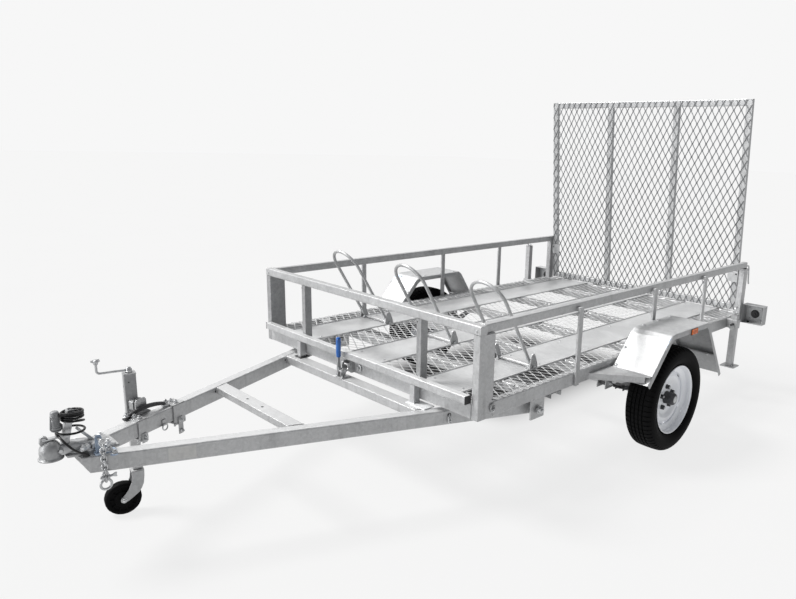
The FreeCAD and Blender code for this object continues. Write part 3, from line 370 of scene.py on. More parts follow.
MAT["darksteel"] = plain("dark_steel", (0.030, 0.030, 0.032), (0.085, 0.085, 0.09), 0.5, (0.4, 0.6), 22.0, dirt=((0.16, 0.13, 0.11), 0.35))
MAT["rubber"] = plain("tyre_rubber", (0.0020, 0.0020, 0.0022), (0.0055, 0.0055, 0.0058), 0.0, (0.58, 0.74), 9.0, 260.0, 0.4, 0.0005, dirt=((0.012, 0.0117, 0.0115), 0.12), spec=0.06)
MAT["rimpaint"] = plain("wheel_paint", (0.80, 0.82, 0.86), (0.90, 0.915, 0.94), 0.0, (0.26, 0.40), 7.0, 180.0, 0.12, 0.0003, dirt=((0.55, 0.56, 0.58), 0.22), coat=0.35)
MAT["blackplastic"] = plain("black_plastic", (0.010, 0.010, 0.011), (0.022, 0.022, 0.024), 0.0, (0.38, 0.55), 30.0, 300.0, 0.2, 0.0003)
MAT["cable"] = plain("cable_sheath", (0.0025, 0.0025, 0.003), (0.006, 0.006, 0.007), 0.0, (0.26, 0.40), 60.0, 400.0, 0.12, 0.0002, coat=0.10, spec=0.3)
MAT["brightzinc"] = plain("bright_zinc", (0.66, 0.67, 0.68), (0.84, 0.85, 0.86), 0.35, (0.28, 0.42), 30.0, dirt=((0.30, 0.30, 0.31), 0.3))
MAT["greyplastic"] = plain("grey_plastic", (0.17, 0.175, 0.18), (0.27, 0.275, 0.285), 0.0, (0.34, 0.5), 24.0, 260.0, 0.2, 0.0003, dirt=((0.45, 0.45, 0.46), 0.35))
MAT["bluegrip"] = plain("blue_grip", (0.005, 0.068, 0.29), (0.014, 0.12, 0.41), 0.0, (0.24, 0.38), 26.0, 240.0, 0.2, 0.0003, coat=0.3)
MAT["amber"] = plain("amber_lens", (0.55, 0.10, 0.010), (0.72, 0.17, 0.02), 0.0, (0.16, 0.3), 40.0, 120.0, 0.3, 0.0004, coat=0.5)
MAT["redlens"] = plain("red_lens", (0.30, 0.008, 0.008), (0.46, 0.015, 0.012), 0.0, (0.16, 0.3), 40.0, 120.0, 0.3, 0.0004, coat=0.5)
MAT["holes"] = plain("hole_shadow", (0.012, 0.012, 0.013), (0.03, 0.03, 0.032), 0.0, (0.6, 0.8), 80.0)
MAT["label"] = plain("blank_label", (0.40, 0.40, 0.395), (0.50, 0.50, 0.49), 0.1, (0.35, 0.5), 60.0, 200.0, 0.1, 0.0002)

NODE_MAT = {}
for n in ("bed_side_rails bed_end_rails floor_bearers under_crossmember cage_top_rails corner_posts side_posts front_posts "
          "front_lower_rail wheel_hoops hoop_brackets mudguard_stays axle_beam spring_hangers drop_leg_sleeves drop_leg_left "
          "drop_leg_right tilt_pivot_brackets ramp_hinge_knuckles ramp_side_rails ramp_uprights ramp_end_rails "
          "drawbar_rail_left drawbar_rail_right drawbar_crossmembers nose_plate jockey_outer_tube jockey_inner_tube").split():
    NODE_MAT[n] = "galv"
for n in "mudguard_left mudguard_right tail_light_boards jockey_fork".split():
    NODE_MAT[n] = "galv_sheet"
for n in "floor_mesh ramp_mesh".split():
    NODE_MAT[n] = "galv_mesh" if n == "floor_mesh" else "ramp_wire"
NODE_MAT["wheel_channels"] = "plate"
for n in "ramp_lock_pins toggle_clamp jockey_mount jockey_crank safety_chain coupling_lever".split():
    NODE_MAT[n] = "zinc"
NODE_MAT["coupling_head"] = "cast"
for n in "leaf_springs hub_left hub_right".split():
    NODE_MAT[n] = "darksteel"
for n in "tyre_left tyre_right jockey_wheel".split():
    NODE_MAT[n] = "rubber"
for n in "rim_left rim_right".split():
    NODE_MAT[n] = "rimpaint"
for n in "tail_lamps lead_gland".split():
    NODE_MAT[n] = "blackplastic"
for n in "lead_tube lead_coil".split():
    NODE_MAT[n] = "cable"
NODE_MAT["lead_plug"] = "greyplastic"
for n, o in frame["nodes"].items():
    o.data.materials.clear()
    o.data.materials.append(MAT[NODE_MAT.get(n, "galv")])

# -------------------------------------------------------------------- cord
# the plug lead: the route's points, then the turns round the handle
ROUTE = [(2444, 64, 436), (2471.5, 73, 451.5), (2499, 65, 485), (2512, 35.3, 506), (2512, 0, 506)]


def lead_points():
    """The route, then two wide turns, the climb and the narrow turns, and the run into the boot."""
    pts = [tuple(p) for p in ROUTE]
    end = 1742.4
    step = end / 69.5
    full = 1.0 / math.cos(math.radians(step) / 2.0)
    for i in range(1, 70):
        deg = i * step
        if deg < 400:
            share, z = 0.0, 506.0 + 8.8 * deg / 400.0
        elif deg < 650:
            u = (deg - 400) / 250.0
            share = u * u * (3 - 2 * u)
            z = 514.8 + 37.2 * share
        else:
            share, z = 1.0, 552.0 + 25.8 * (deg - 650) / (end - 650)
        cx = 2468.0 - 10.0 * share
        # the turns aren't quite alike
        r = 44.0 - 10.0 * share + 0.5 * math.sin(deg * 0.0131) * min(1.0, (end - deg) / 200.0)
        k = 1 + (full - 1) * min(1.0, deg / 180.0)
        t = math.radians(-deg)
        pts.append((cx + r * k * math.cos(t), r * k * math.sin(t), z))
    a = 34 * math.tan(math.radians(step) / 2)
    for q in (a, a + 12.0):
        pts.append((2476.2 + 0.8443 * q, 28.7 - 0.5358 * q, 577.8))
    return pts


LEAD = lead_points()


def nurbs(name, pts, radius, mat, order=3):
    cu = bpy.data.curves.new(name, "CURVE")
    cu.dimensions = "3D"
    sp = cu.splines.new("NURBS")
    sp.points.add(len(pts) - 1)
    for q, p in zip(sp.points, pts):
        q.co = (*P(*p), 1.0)
    sp.order_u = order
    sp.use_endpoint_u = True
    sp.resolution_u = 6
    cu.bevel_depth = radius / 1000.0
    cu.bevel_resolution = 4
    cu.use_fill_caps = True
    cu.materials.append(mat)
    ob = bpy.data.objects.new(name, cu)
    bpy.context.scene.collection.objects.link(ob)
    return ob


lead = nurbs("plug_lead", LEAD, 4.0, MAT["cable"])
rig.replaces(lead, "lead_tube", "lead_coil")
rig.slot(lead, "cable")
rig.ride(lead, "drawbar")

# ------------------------------------------------------------- mesh building
class Piece:
    """Polygons of one piece, gathered in millimetres from the middle of the bed."""

    def __init__(self, T=None):
        self.V, self.F, self.M, self.keys = [], [], [], []
        self.T = T

    def add(self, verts, faces, key):
        if key not in self.keys:
            self.keys.append(key)
        k, o = self.keys.index(key), len(self.V)
        self.V += [self.T @ Vector(v) if self.T is not None else Vector(v) for v in verts]
        for f in faces:
            self.F.append([i + o for i in f])
            self.M.append(k)

    def make(self, name, body, replaces=(), slot=None, bevel=0.0, seg=2, angle=34.0):
        me = bpy.data.meshes.new(name)
        me.from_pydata([P(*v) for v in self.V], [], self.F)
        me.polygons.foreach_set("material_index", self.M)
        for k in self.keys:
            me.materials.append(MAT[k])
        bm = bmesh.new()
        bm.from_mesh(me)
        bmesh.ops.recalc_face_normals(bm, faces=bm.faces)
        bm.to_mesh(me)
        bm.free()
        me.polygons.foreach_set("use_smooth", [True] * len(me.polygons))
        me.set_sharp_from_angle(angle=math.radians(angle))
        me.update()
        ob = bpy.data.objects.new(name, me)
        bpy.context.scene.collection.objects.link(ob)
        if bevel:
            soften(ob, bevel, seg)
        else:
            w = ob.modifiers.new("normals", "WEIGHTED_NORMAL")
            w.keep_sharp = True
        if replaces:
            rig.replaces(ob, *replaces)
        if slot:
            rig.slot(ob, slot)
        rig.ride(ob, body)
        return ob


def soften(ob, width, seg=2, weld=False):
    if weld:
        m = ob.modifiers.new("join", "WELD")
        m.merge_threshold = 0.00002
    b = ob.modifiers.new("edges", "BEVEL")
    b.width = width / 1000.0
    b.segments = seg
    b.limit_method = "ANGLE"
    b.angle_limit = math.radians(34)
    b.miter_outer = "MITER_ARC"
    b.harden_normals = not weld
    if weld:
        w = ob.modifiers.new("normals", "WEIGHTED_NORMAL")
        w.weight = 100
        w.keep_sharp = False
    return ob


def axes(d, up):
    d = Vector(d).normalized()
    up = Vector(up)
    b = (up - d * up.dot(d)).normalized()
    return b.cross(d).normalized(), b, d


def rrect(w, h, r, n=3):
    r = max(0.01, min(r, w / 2 - 0.01, h / 2 - 0.01))
    pts = []
    for cx, cy, a0 in ((w / 2 - r, h / 2 - r, 0), (-w / 2 + r, h / 2 - r, 90), (-w / 2 + r, -h / 2 + r, 180), (w / 2 - r, -h / 2 + r, 270)):
        for i in range(n + 1):
            t = math.radians(a0 + 90.0 * i / n)
            pts.append((cx + r * math.cos(t), cy + r * math.sin(t)))
    return pts


def rhs(pc, p0, p1, up, w, h, key="galv", r=5.0, t=3.0, n=3, open0=True, open1=True, n0=None, n1=None):
    """Rectangular hollow section with rounded corners; w lies across, h along up."""
    p0, p1 = Vector(p0), Vector(p1)
    a, b, d = axes(p1 - p0, up)
    outer, inner = rrect(w, h, r, n), rrect(w - 2 * t, h - 2 * t, max(r - t, 0.8), n)
    V = []
    for p, nn, deep in ((p0, n0, 0.0 if open0 else t), (p1, n1, 0.0 if open1 else -t)):
        for ringp, dd in ((outer, 0.0), (inner, deep)):
            for x, y in ringp:
                q = p + a * x + b * y + d * dd
                if nn is not None:
                    m = Vector(nn)
                    q = q - d * ((q - p - d * dd).dot(m) / d.dot(m))
                V.append(q)
    k = len(outer)
    F = []
    for i in range(k):
        j = (i + 1) % k
        F.append((i, j, 2 * k + j, 2 * k + i))
        F.append((k + j, k + i, 3 * k + i, 3 * k + j))
        if open0:
            F.append((j, i, k + i, k + j))
        if open1:
            F.append((2 * k + i, 2 * k + j, 3 * k + j, 3 * k + i))
    if not open0:
        F.append(tuple(range(k)))
        F.append(tuple(range(k, 2 * k))[::-1])
    if not open1:
        F.append(tuple(range(2 * k, 3 * k)))
        F.append(tuple(range(3 * k, 4 * k))[::-1])
    pc.add(V, F, key)


def slab(pc, x0, x1, y0, y1, z0, z1, key="galv"):
    V = [(x, y, z) for x in (x0, x1) for y in (y0, y1) for z in (z0, z1)]
    pc.add(V, [(0, 1, 3, 2), (4, 6, 7, 5), (0, 4, 5, 1), (2, 3, 7, 6), (0, 2, 6, 4), (1, 5, 7, 3)], key)


def prism(pc, pts, axis, lo, hi, key="galv"):
    n = len(pts)
    put = {"x": lambda q, h: (h, q[0], q[1]), "y": lambda q, h: (q[0], h, q[1]), "z": lambda q, h: (q[0], q[1], h)}[axis]
    V = [put(q, lo) for q in pts] + [put(q, hi) for q in pts]
    F = [tuple(range(n)), tuple(range(n, 2 * n))[::-1]]
    F += [(i, (i + 1) % n, n + (i + 1) % n, n + i) for i in range(n)]
    pc.add(V, F, key)


def sweep(pc, pts, r, key="galv", n=12, closed=False, radii=None, flat=1.0):
    pts = [Vector(p) for p in pts]
    m = len(pts)
    V, F = [], []
    t0 = (pts[1] - pts[0]).normalized()
    ref = Vector((0, 0, 1)) if abs(t0.z) < 0.9 else Vector((1, 0, 0))
    b = (ref - t0 * ref.dot(t0)).normalized()
    for i, p in enumerate(pts):
        a0, a1 = pts[i - 1] if (i or closed) else pts[0], pts[(i + 1) % m] if (i < m - 1 or closed) else pts[-1]
        t = (a1 - a0).normalized()
        b = (b - t * b.dot(t)).normalized()
        a = b.cross(t)
        rr = radii[i] if radii else r
        for j in range(n):
            g = 2 * math.pi * j / n
            V.append(p + a * (rr * math.cos(g)) + b * (rr * flat * math.sin(g)))
    for i in range(m if closed else m - 1):
        for j in range(n):
            i2, j2 = (i + 1) % m, (j + 1) % n
            F.append((i * n + j, i * n + j2, i2 * n + j2, i2 * n + j))
    if not closed:
        F.append(tuple(range(n))[::-1])
        F.append(tuple((m - 1) * n + j for j in range(n)))
    pc.add(V, F, key)


def rod(pc, p0, p1, r, key="zinc", n=16, chamfer=0.0):
    p0, p1 = Vector(p0), Vector(p1)
    if chamfer:
        d = (p1 - p0).normalized() * chamfer
        sweep(pc, [p0, p0 + d, p1 - d, p1], r, key, n, radii=[r - chamfer, r, r, r - chamfer])
    else:
        sweep(pc, [p0, p1], r, key, n)


def lathe(pc, prof, origin, axis, key="zinc", n=48, closed=False, angles=None, shape=None):
    """Turns (radius, height) points about an axis through origin."""
    o = Vector(origin)
    d = Vector(axis).normalized()
    ref = Vector((0, 0, 1)) if abs(d.z) < 0.9 else Vector((1, 0, 0))
    a, b, d = axes(d, ref)
    k = len(prof)
    ang = angles or [2 * math.pi * j / n for j in range(n)]
    V, F = [], []
    for j, g in enumerate(ang):
        for i, (r, h) in enumerate(prof):
            if shape:
                r, h = shape(i, j, r, h)
            V.append(o + d * h + a * (r * math.cos(g)) + b * (r * math.sin(g)))
    m = len(ang)
    for j in range(m):
        j2 = (j + 1) % m
        for i in range(k if closed else k - 1):
            i2 = (i + 1) % k
            if prof[i][0] < 1e-6 and prof[i2][0] < 1e-6:
                continue
            F.append((j * k + i, j * k + i2, j2 * k + i2, j2 * k + i))
    if not closed:
        if prof[0][0] > 1e-6:
            F.append(tuple(j * k for j in range(m)))
        if prof[-1][0] > 1e-6:
            F.append(tuple(j * k + k - 1 for j in range(m))[::-1])
    pc.add(V, F, key)


def hexa(pc, p, axis, af, h, key="zinc", turn=0.0):
    p, d = Vector(p), Vector(axis).normalized()
    ref = Vector((0, 0, 1)) if abs(d.z) < 0.9 else Vector((1, 0, 0))
    a, b, d = axes(d, ref)
    R = af / 2 / math.cos(math.pi / 6)
    V = []
    for s, hh in ((1.0, 0.0), (1.0, h * 0.84), (0.88, h)):
        for i in range(6):
            g = turn + math.pi / 3 * i
            V.append(p + d * hh + a * (R * s * math.cos(g)) + b * (R * s * math.sin(g)))
    F = [tuple(range(6))[::-1], tuple(range(12, 18))]
    for k in (0, 6):
        F += [(k + i, k + (i + 1) % 6, k + 6 + (i + 1) % 6, k + 6 + i) for i in range(6)]
    pc.add(V, F, key)


def bolt(pc, p, axis, af=17.0, key="zinc", washer=True, stub=0.0, turn=0.3):
    """A hexagon head or nut on its washer, with a stub of thread."""
    p, d = Vector(p), Vector(axis).normalized()
    h = 0.0
    if washer:
        lathe(pc, [(0, 0), (af * 0.72, 0), (af * 0.72, 1.2), (af * 0.66, 1.6), (0, 1.6)], p, d, key, 20)
        h = 1.6
    hexa(pc, p + d * h, d, af, af * 0.5, key, turn)
    if stub:
        r = af * 0.29
        prof = [(0, 0)]
        z = 0.0
        while z < stub:
            prof += [(r, z), (r * 0.9, z + 0.7)]
            z += 1.4
        prof += [(r * 0.85, stub + 0.6), (0, stub + 0.6)]
        lathe(pc, prof, p + d * (h + af * 0.5), d, key, 12)


def weld(pc, p0, p1, r=3.2, key="galv"):
    """A run of weld with its ripples, under the zinc."""
    p0, p1 = Vector(p0), Vector(p1)
    L = (p1 - p0).length
    m = max(4, int(L / 2.2))
    pts, rad = [], []
    for i in range(m + 1):
        u = i / m
        jit = Vector((random.uniform(-1, 1), random.uniform(-1, 1), random.uniform(-1, 1))) * 0.35
        pts.append(p0.lerp(p1, u) + jit)
        e = min(1.0, 3.5 * min(u, 1 - u) + 0.45)
        rad.append(r * e * (0.86 + 0.16 * math.sin(i * 1.9) + random.uniform(-0.06, 0.06)))
    sweep(pc, pts, r, key, 7, radii=rad)


def hole(pc, p, axis, r, key="holes"):
    """A drilled hole: a thin raised rim of zinc round a near-black disc, painted shade that stands for the hole's
    depth.
    """
    lathe(pc, [(r * 1.18, -0.2), (r * 1.22, 0.35), (r * 1.02, 0.55), (r, 0.1)], p, axis, "galv", 18, closed=True)
    lathe(pc, [(0, 0.12), (r * 1.0, 0.12), (r * 0.98, -0.5), (0, -0.5)], p, axis, key, 18)


def bent(pts, r, n=5):
    """Rounds the corners of a polyline of straight rods with arcs."""
    pts = [Vector(p) for p in pts]
    out = [pts[0]]
    for i in range(1, len(pts) - 1):
        p, a, b = pts[i], (pts[i - 1] - pts[i]).normalized(), (pts[i + 1] - pts[i]).normalized()
        half = a.angle(b) / 2
        back = r / math.tan(half)
        c = p + (a + b).normalized() * (r / math.sin(half))
        s, e = p + a * back - c, p + b * back - c
        for k in range(n + 1):
            u = k / n
            w = s.lerp(e, u)
            out.append(c + w.normalized() * r)
    out.append(pts[-1])
    return out


def expanded(pc, u0, u1, v0, v1, put, pu=46.0, pv=80.0, ou=0.0, ov=0.0, w=6.0, t=1.9, tilt=13.0, kn=5.0, key="galv_mesh"):
    """Expanded metal: flat strands that part and meet again at their knuckles."""
    ct, st_ = math.cos(math.radians(tilt)), math.sin(math.radians(tilt))
    W, N = (ct * w / 2, st_ * w / 2), (-st_ * t / 2, ct * t / 2)

    def clip(a, b):
        lo, hi = 0.0, 1.0
        for k, (mn, mx) in enumerate(((u0, u1), (v0, v1))):
            d = b[k] - a[k]
            if abs(d) < 1e-9:
                if a[k] < mn or a[k] > mx:
                    return None
                continue
            q0, q1 = (mn - a[k]) / d, (mx - a[k]) / d
            lo, hi = max(lo, min(q0, q1)), min(hi, max(q0, q1))
        if hi - lo < 0.02:
            return None
        return tuple((a[k] + (b[k] - a[k]) * lo, a[k] + (b[k] - a[k]) * hi) for k in (0, 1))
    i0, i1 = int((u0 - ou) / (pu / 2)) - 2, int((u1 - ou) / (pu / 2)) + 2
    j0, j1 = int((v0 - ov) / (pv / 2)) - 2, int((v1 - ov) / (pv / 2)) + 2
    for i in range(i0, i1 + 1):
        for j in range(j0, j1 + 1):
            if (i + j) % 2:
                continue
            A = (ou + i * pu / 2, ov + j * pv / 2)
            for s in (1, -1):
                B = (A[0] + s * pu / 2, A[1] + pv / 2)
                line = [(A[0] + s * w * 0.44, A[1]), (A[0] + s * w * 0.5, A[1] + kn), (B[0] - s * w * 0.5, B[1] - kn), (B[0] - s * w * 0.44, B[1])]
                got = []
                for a, b in zip(line, line[1:]):
                    c = clip(a, b)
                    if c:
                        q0, q1 = (c[0][0], c[1][0]), (c[0][1], c[1][1])
                        if not got:
                            got.append(q0)
                        got.append(q1)
                if len(got) < 2:
                    continue
                V, F = [], []
                for (u, v) in got:
                    for su, sn in ((1, 1), (-1, 1), (-1, -1), (1, -1)):
                        V.append(put(u + su * W[0] + sn * N[0], v, su * W[1] + sn * N[1]))
                for q in range(len(got) - 1):
                    for e in range(4):
                        F.append((q * 4 + e, q * 4 + (e + 1) % 4, q * 4 + 4 + (e + 1) % 4, q * 4 + 4 + e))
                F.append((3, 2, 1, 0))
                m = 4 * (len(got) - 1)
                F.append((m, m + 1, m + 2, m + 3))
                pc.add(V, F, key)


HL, HW = 1250.0, 780.0
RAMP_T = Matrix.Translation(Vector((-1271.0, 0, 496.0))) @ Matrix.Rotation(math.radians(5.58), 4, "Y")


# ----------------------------------------------------------------- the bed
def bed_frame():
    pc = Piece()
    for s in (1, -1):
        rhs(pc, (-HL + 50, s * 761, 477.5), (HL - 90, s * 761, 477.5), (0, 0, 1), 38, 63)
    pc.make("side_rail_tubes", "bed", ["bed_side_rails"], "galvanised")
    pc = Piece()
    for x in (HL - 20, -HL + 20):
        rhs(pc, (x, -742, 477.5), (x, 742, 477.5), (0, 0, 1), 40, 63)
    pc.make("end_rail_tubes", "bed", ["bed_end_rails"], "galvanised")
    pc = Piece()
    for k in (-2, -1, 0, 1, 2):
        x = 460.0 * k
        rhs(pc, (x, -742, 489), (x, 742, 489), (0, 0, 1), 50, 40, r=4)
    pc.make("bearer_tubes", "bed", ["floor_bearers"], "galvanised")
    # cage
    pc = Piece()
    for s in (1, -1):
        rhs(pc, (-HL, s * 754, 814), (HL - 38, s * 754, 814), (0, 0, 1), 32, 38)
    rhs(pc, (HL - 19, -HW, 814), (HL - 19, HW, 814), (0, 0, 1), 38, 38, open0=False, open1=False)
    for s in (1, -1):
        weld(pc, (HL - 38, s * 738, 833), (HL - 38, s * 770, 833), 2.4)
        weld(pc, (HL - 38, s * 737, 800), (HL - 38, s * 737, 832), 2.4)
        for x in (593, -70, -640):
            for dx in (-16, 16):
                weld(pc, (x + dx, s * 771, 798), (x + dx, s * 771, 813), 2.2)
        # where the cage rail meets the posts
        weld(pc, (HL - 88, s * 742, 794.5), (HL - 6, s * 742, 794.5), 2.6)
        weld(pc, (HL - 90.5, s * 744, 794), (HL - 90.5, s * 768, 794), 2.4)
        weld(pc, (-HL + 50.5, s * 744, 794), (-HL + 50.5, s * 768, 794), 2.4)
        for y in (415, 445):
            weld(pc, (HL - 38, s * y, 794.5), (HL - 2, s * y, 794.5), 2.2)
    pc.make("cage_rail_tubes", "bed", ["cage_top_rails"], "galvanised")
    pc = Piece()
    for s in (1, -1):
        # painted shade: the far corner post takes the darker copy of the zinc, the near one the plain zinc
        rhs(pc, (HL - 45, s * 761, 446), (HL - 45, s * 761, 794.8), (0, 1, 0), 90, 38, "galv" if s > 0 else "galv_post", open1=False)
        weld(pc, (HL - 87, s * 774.5, 796.3), (HL - 40, s * 774.5, 796.3), 2.8)
        rhs(pc, (-HL + 25, s * 761, 446), (-HL + 25, s * 761, 795), (0, 1, 0), 50, 38)
        weld(pc, (HL - 90.5, s * 778, 449), (HL - 90.5, s * 778, 507), 2.6)
        weld(pc, (-HL + 50.5, s * 778, 449), (-HL + 50.5, s * 778, 507), 2.6)
        weld(pc, (HL - 38, s * 741, 509.5), (HL - 4, s * 741, 509.5), 2.6)
    # ring and bolts on the near front post, fixings near the tops
    for s in (1, -1):
        hexa(pc, (HL, s * 757, 811), (1, 0, 0), 10, 3, "zinc")
        bolt(pc, (HL - 83, s * HW, 474), (0, s, 0), 15, stub=4)
        ringp = [(HL - 83 + 13 * math.cos(g), s * (HW + 5), 488 + 15 * math.sin(g)) for g in [2 * math.pi * i / 28 for i in range(28)]]
        sweep(pc, ringp, 3.0, "galv", 10, closed=True)
    hole(pc, (HL - 83, 780.2, 520), (0, 1, 0), 3)
    pc.make("corner_post_tubes", "bed", ["corner_posts"], "galvanised")
    pc = Piece()
    for s in (1, -1):
        # painted shade: both front posts take the darker copy of the zinc
        rhs(pc, (HL - 20, s * 430, 510.5), (HL - 20, s * 430, 795), (0, 1, 0), 40, 30, "galv_post", r=4)
        hole(pc, (HL + 0.1, s * 430 - 9, 782), (1, 0, 0), 3.6)
        for y in (415, 445):
            weld(pc, (HL - 38, s * y, 511.5), (HL - 2, s * y, 511.5), 2.4)
    pc.make("front_post_tubes", "bed", ["front_posts"], "galvanised")
    pc = Piece()
    # painted light: the lower rail's upward face is painted paler
    rhs(pc, (HL + 17, -738, 531), (HL + 17, 738, 531), (0, 0, 1), 34, 34, "galv_top", r=4)
    for s in (1, -1):
        # painted shade: near-black slabs across the open ends stand for the dark inside of the tube
        slab(pc, HL + 2.5, HL + 31.5, s * 733, s * 742, 516.5, 545.5, "blackplastic")
        slab(pc, HL, HL + 34, s * 738, s * 741.5, 514, 548, "blackplastic")
        y0, y1 = s * 415, s * 445
        rhs(pc, (HL + 17, s * 430, 433), (HL + 17, s * 430, 514), (1, 0, 0), 30, 34, r=3, open0=False)
        # painted shade: the plate under the far foot is near-black dark steel standing for the shade under it; the near
        # one is bright zinc
        if s > 0:
            slab(pc, HL - 14, HL + 44, 402, 520, 428.7, 433.4, "brightzinc")
        else:
            slab(pc, HL - 14, HL + 42, -456, -404, 428.6, 433.2, "darksteel")
        for y in (414, 446):
            weld(pc, (HL + 1, s * y, 513.5), (HL + 26, s * y, 513.5), 2.6)
        weld(pc, (HL + 1, s * 736, 513), (HL + 1, s * 690, 513), 2.4)
    pc.make("lower_rail_tube", "bed", ["front_lower_rail"], "galvanised")


def floor_sheet():
    pc = Piece()
    put = lambda u, v, n: (u, v, 510.6 + n)
    expanded(pc, -HL + 3, HL - 41, -741, 741, put, ou=984 - 46 * 40, ov=319 - 80 * 10)
    # the strips over the side rails, between the corner posts
    for s in (1, -1):
        v0, v1 = (741, 777) if s > 0 else (-777, -741)
        expanded(pc, -HL + 53, HL - 93, v0, v1, put, ou=984 - 46 * 40, ov=319 - 80 * 10)
    pc.make("floor_expanded_metal", "bed", ["floor_mesh"], "galvanised_mesh")


def channels():
    pc = Piece()
    for k in (-1, 0, 1):
        yc = 515.0 * k
        sec = [(-118, 518), (-118, 511), (118, 511), (118, 518), (115.5, 518), (115, 514.4), (112, 513.6)]
        # shallow ribs along the plate, as rolled
        top = []
        m = 14
        for i in range(m + 1):
            y = 110 - 220.0 * i / m
            top += [(y + 1.6, 513.6), (y + 0.7, 514.1), (y - 0.7, 514.1), (y - 1.6, 513.6)]
        sec += [p for p in top if abs(p[0]) < 111] + [(-112, 513.6), (-115, 514.4), (-115.5, 518)]
        prism(pc, [(y + yc, z) for y, z in sec], "x", -1224, 1210, "plate")
        for x in (-1160, -700, -240, 240, 640, 1150):
            for y in (-88, 88):
                lathe(pc, [(0, 0), (6.2, 0), (5.6, 1.6), (3.2, 2.7), (0, 3.0)], (x, yc + y, 513.8), (0, 0, 1), "zinc", 16)
    pc.make("wheel_channel_plates", "bed", ["wheel_channels"], "aluminium_plate", angle=28)


def hoops():
    pc = Piece()
    lean = math.radians(31.3)
    sx, sz = math.sin(lean), math.cos(lean)
    fx, fz, R, L = 715.0, 521.5, 100.0, 378.0
    for k in (-1, 0, 1):
        yc = 515.0 * k
        up = lambda a, y: (fx + sx * a, yc + y, fz + sz * a)
        pts = [up(L * i / 6, -R) for i in range(7)]
        pts += [up(L + R * math.sin(math.pi * i / 24), -R * math.cos(math.pi * i / 24)) for i in range(1, 24)]
        pts += [up(L * (6 - i) / 6, R) for i in range(7)]
        sweep(pc, pts, 8.0, "galv", 18)
        rod(pc, (fx, yc - R - 9, fz), (fx, yc + R + 9, fz), 8.0, "galv", 18, 1.0)
        for s in (1, -1):
            weld(pc, (fx + 8, yc + s * (R + 7), fz - 3), (fx + 8, yc + s * (R + 7), fz + 8), 2.6)
    pc.make("wheel_hoop_bars", "bed", ["wheel_hoops"], "galvanised", angle=50)
    pc = Piece()
    for k in (-1, 0, 1):
        for s in (1, -1):
            y0 = 515.0 * k + 109 * s
            y1 = y0 + 6 * s
            fx = 715.0
            out = [(fx - 27, 514), (fx + 27, 514), (fx + 27, 530), (fx + 24, 548), (fx + 16, 578), (fx + 10, 584), (fx - 2, 584), (fx - 8, 578), (fx - 24, 540), (fx - 27, 530)]
            prism(pc, out, "y", min(y0, y1), max(y0, y1))
            slab(pc, fx - 26, fx + 26, min(y0, y0 - 26 * s), max(y0, y0 - 26 * s), 514, 518)
            bolt(pc, (fx + 10, y0 - 13 * s, 518), (0, 0, 1), 13, stub=4)
            bolt(pc, (fx - 12, y0 - 13 * s, 518), (0, 0, 1), 13, stub=4)
            hexa(pc, (fx, y1, 522), (0, s, 0), 15, 7, "zinc")
    pc.make("hoop_foot_brackets", "bed", ["hoop_brackets"], "galvanised", bevel=0.7)


bed_frame()
floor_sheet()
channels()
hoops()


# ---------------------------------------------------------------- the ramp
def ramp_parts():
    pc = Piece(RAMP_T)
    for s in (1, -1):
        rhs(pc, (18.5, s * 712, 22), (18.5, s * 712, 1330), (0, 1, 0), 25, 40, r=3.5)
    pc.make("ramp_rail_tubes", "ramp", ["ramp_side_rails"], "galvanised")
    pc = Piece(RAMP_T)
    for s in (1, -1):
        rhs(pc, (18.5, s * 245, 62), (18.5, s * 245, 1290), (0, 1, 0), 25, 40, r=3.5)
        for z in (63, 1289):
            weld(pc, (31.2, s * 226, z), (31.2, s * 264, z), 2.2)
    pc.make("ramp_upright_tubes", "ramp", ["ramp_uprights"], "galvanised")
    pc = Piece(RAMP_T)
    rhs(pc, (18.5, -692, 42), (18.5, 692, 42), (0, 0, 1), 25, 40, r=3.5)
    rhs(pc, (18.5, -692, 1310), (18.5, 692, 1310), (0, 0, 1), 25, 40, r=3.5)
    for s in (1, -1):
        for yy in (578, 312):
            y0, y1 = min(s * yy, s * (yy + 60)), max(s * yy, s * (yy + 60))
            lathe(pc, [(5.2, 0), (9, 0), (9, 60), (5.2, 60)], (0, y0, 0), (0, 1, 0), "galv", 24, closed=True)
            prism(pc, [(-6, 2), (6, 2), (13, 22), (-6, 22)], "y", y0, y1)
            weld(pc, (6.5, y0, 20), (6.5, y1, 20), 2.4)
        weld(pc, (31, s * 691, 24), (31, s * 691, 60), 2.2)
        weld(pc, (31, s * 691, 1292), (31, s * 691, 1328), 2.2)
    pc.make("ramp_end_tubes", "ramp", ["ramp_end_rails"], "galvanised")
    pc = Piece(RAMP_T)
    put = lambda u, v, n: (32.7 - n, u, v)
    # painted shade: the ramp's strands take the much darker copy of the zinc
    expanded(pc, -729, 729, 25, 1327, put, ou=3.0, ov=11.0, pu=45.8, pv=81.0, key="ramp_wire")
    pc.make("ramp_expanded_metal", "ramp", ["ramp_mesh"], "galvanised_mesh")


ramp_parts()


